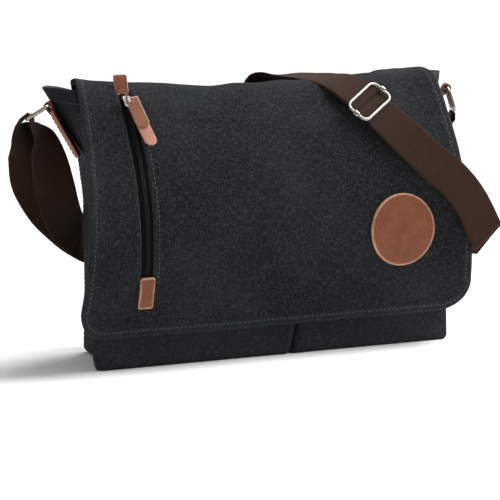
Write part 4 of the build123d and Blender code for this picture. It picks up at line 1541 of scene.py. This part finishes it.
pull_blade("pull_under_leather", "pull_backing", 37.5, -1.9, 1.5, suede)
pull_blade("pull_upper_leather", "pull_leather", 19.5, -0.4, 1.7, leather)
for tag, side in SIDES.items():
    spots = [pull_spot(a, side * 2.0, 1.3) for a in (-8.0, -6.0, -4.0)]
    sewn = stitches(f"pull_stitch_{tag}", spots, np.tile(pull_out, (3, 1)), thread_tan, length=3.0, gap=0.5)
    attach(sewn, "leather_pull")


# ---------------------------------------------------------------- padded insert
def pad(node, body_name):
    """A foam pad in cloth: round edges, puffed and rippled faces and a line sunk round the border."""
    low, high = (mm(corner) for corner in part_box(node))
    size = high - low
    thin = int(np.argmin(size))
    wide = [k for k in range(3) if k != thin]
    steps = [max(6, int(size[k] / 7.0)) for k in wide]
    middle = (low[thin] + high[thin]) / 2
    vertices = []
    for face in (-1, 1):
        for i in range(steps[0] + 1):
            for j in range(steps[1] + 1):
                u, v = i / steps[0], j / steps[1]
                u = 0.5 - 0.5 * math.cos(math.pi * u) if i in (0, 1, steps[0] - 1, steps[0]) else u
                edge = min(min(u, 1 - u) * size[wide[0]], min(v, 1 - v) * size[wide[1]])
                puff = 0.30 + 0.70 * math.sqrt(max(0.0, 1 - (1 - min(edge / 9.0, 1.0)) ** 2))
                puff -= 0.22 * hump(edge - 5.0, 1.6)
                point = np.zeros(3)
                point[wide[0]] = low[wide[0]] + u * size[wide[0]]
                point[wide[1]] = low[wide[1]] + v * size[wide[1]]
                ripple = 0.35 * bumpy(point[wide[0]], point[wide[1]], 26.0, 31.0 + face)
                point[thin] = middle + face * (size[thin] / 2 - 0.4) * puff + ripple
                vertices.append(point)
    rows, cols = steps[0] + 1, steps[1] + 1
    upper = rows * cols
    faces = grid_faces(rows, cols, start=upper) + grid_faces(rows, cols, flip=True)
    ring = [i * cols + j for i, j in border(rows, cols)]
    for a, b in zip(ring, ring[1:] + ring[:1]):
        faces.append((upper + a, upper + b, b, a))
    obj = new_object(f"{node}_pad", vertices, faces, materials=[padding_cloth])
    obj.modifiers.new("soft", "SUBSURF").render_levels = 1
    place_piece(obj, "padding", node, body=body_name)


for part in ("floor", "front_wall", "back_wall", "left_wall", "right_wall"):
    pad(f"insert_{part}", "shell")
for side in SIDES:
    pad(f"divider_{side}", f"{side}_divider")

# Pieces whose CAD shape is shown as it is.
for node, material in {"base_board": board_plastic, "snap_sockets": nickel, "snap_studs": nickel}.items():
    frame["nodes"][node].data.materials.clear()
    frame["nodes"][node].data.materials.append(material)

# ---------------------------------------------------------------- flap's pieces: baked in place, patch carried by the flap's body
for obj in [flap_front, *flap_bending]:
    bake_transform(obj)
for obj in (patch, patch_stitching):
    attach(obj, "flap_front")
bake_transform(flap_top)

# ---------------------------------------------------------------- floor, light and camera
def point_along(obj, direction):
    obj.rotation_euler = Vector(direction).to_track_quat("-Z", "Y").to_euler()


floor_material = Nodes("paper_floor")
grain = floor_material.noise(floor_material.coords("Object"), 60.0, 4.0)
floor_colour = floor_material.mix(floor_material.spread(grain, 0.3, 0.7), grey(0.90), grey(0.94))
floor_material.finish(floor_colour, 0.9, floor_material.bump(grain, 0.0001, 0.3), specular_ior_level=0.1)
FLOOR_HALF = 9000
floor_corners = [(x * FLOOR_HALF, y * FLOOR_HALF, 0) for x, y in ((-1, -1), (1, -1), (1, 1), (-1, 1))]
new_object("floor", floor_corners, [(0, 1, 2, 3)], materials=[floor_material.material])

world = bpy.data.worlds.new("studio")
bpy.context.scene.world = world
world.use_nodes = True
sky = world.node_tree
place = sky.nodes.new("ShaderNodeTexCoord")
parts = sky.nodes.new("ShaderNodeSeparateXYZ")
fade = sky.nodes.new("ShaderNodeValToRGB")
fade.color_ramp.elements[0].position = 0.0
fade.color_ramp.elements[0].color = (0.38, 0.38, 0.385, 1)
fade.color_ramp.elements[1].position = 0.75
fade.color_ramp.elements[1].color = (1.0, 1.0, 1.0, 1)
sky.links.new(place.outputs["Generated"], parts.inputs["Vector"])
sky.links.new(parts.outputs["Z"], fade.inputs["Fac"])
sky.links.new(fade.outputs["Color"], sky.nodes["Background"].inputs["Color"])
sky.nodes["Background"].inputs["Strength"].default_value = 0.60

KEY_PLACE = Vector((0.95, -0.26, 1.05))
key = bpy.data.lights.new("key", "AREA")
key.size = 0.7
key.energy = 21
key_light = show("key", key)
key_light.location = KEY_PLACE
point_along(key_light, Vector((0, 0, 0.15)) - KEY_PLACE)
overhead = bpy.data.lights.new("overhead", "SUN")
overhead.energy = 2.8
overhead.angle = math.radians(40.0)
point_along(show("overhead", overhead), (-0.50, -0.20, -1.0))
bpy.context.scene.view_settings.view_transform = "Standard"

CAMERA_TURN = math.radians(27.557)
CAMERA_RISE = math.radians(7.49)
CAMERA_AWAY = 2.7987
AIM_RIGHT = 0.0058235    # the picture's middle, from the middle of the bag
AIM_DOWN = 0.037905
right = Vector((math.cos(CAMERA_TURN), -math.sin(CAMERA_TURN), 0))
forward = Vector((
    math.sin(CAMERA_TURN) * math.cos(CAMERA_RISE),
    math.cos(CAMERA_TURN) * math.cos(CAMERA_RISE),
    -math.sin(CAMERA_RISE),
))
up = right.cross(forward)
middle = Vector((0, 0, 0.130))
camera_data = bpy.data.cameras.new("camera")
camera_data.sensor_width = 36.0
camera_data.lens = 212.1
camera_data.clip_end = 50.0
camera = show("camera", camera_data)
camera.location = middle - forward * CAMERA_AWAY
point_along(camera, middle + right * AIM_RIGHT - up * AIM_DOWN - camera.location)
bpy.context.scene.camera = camera
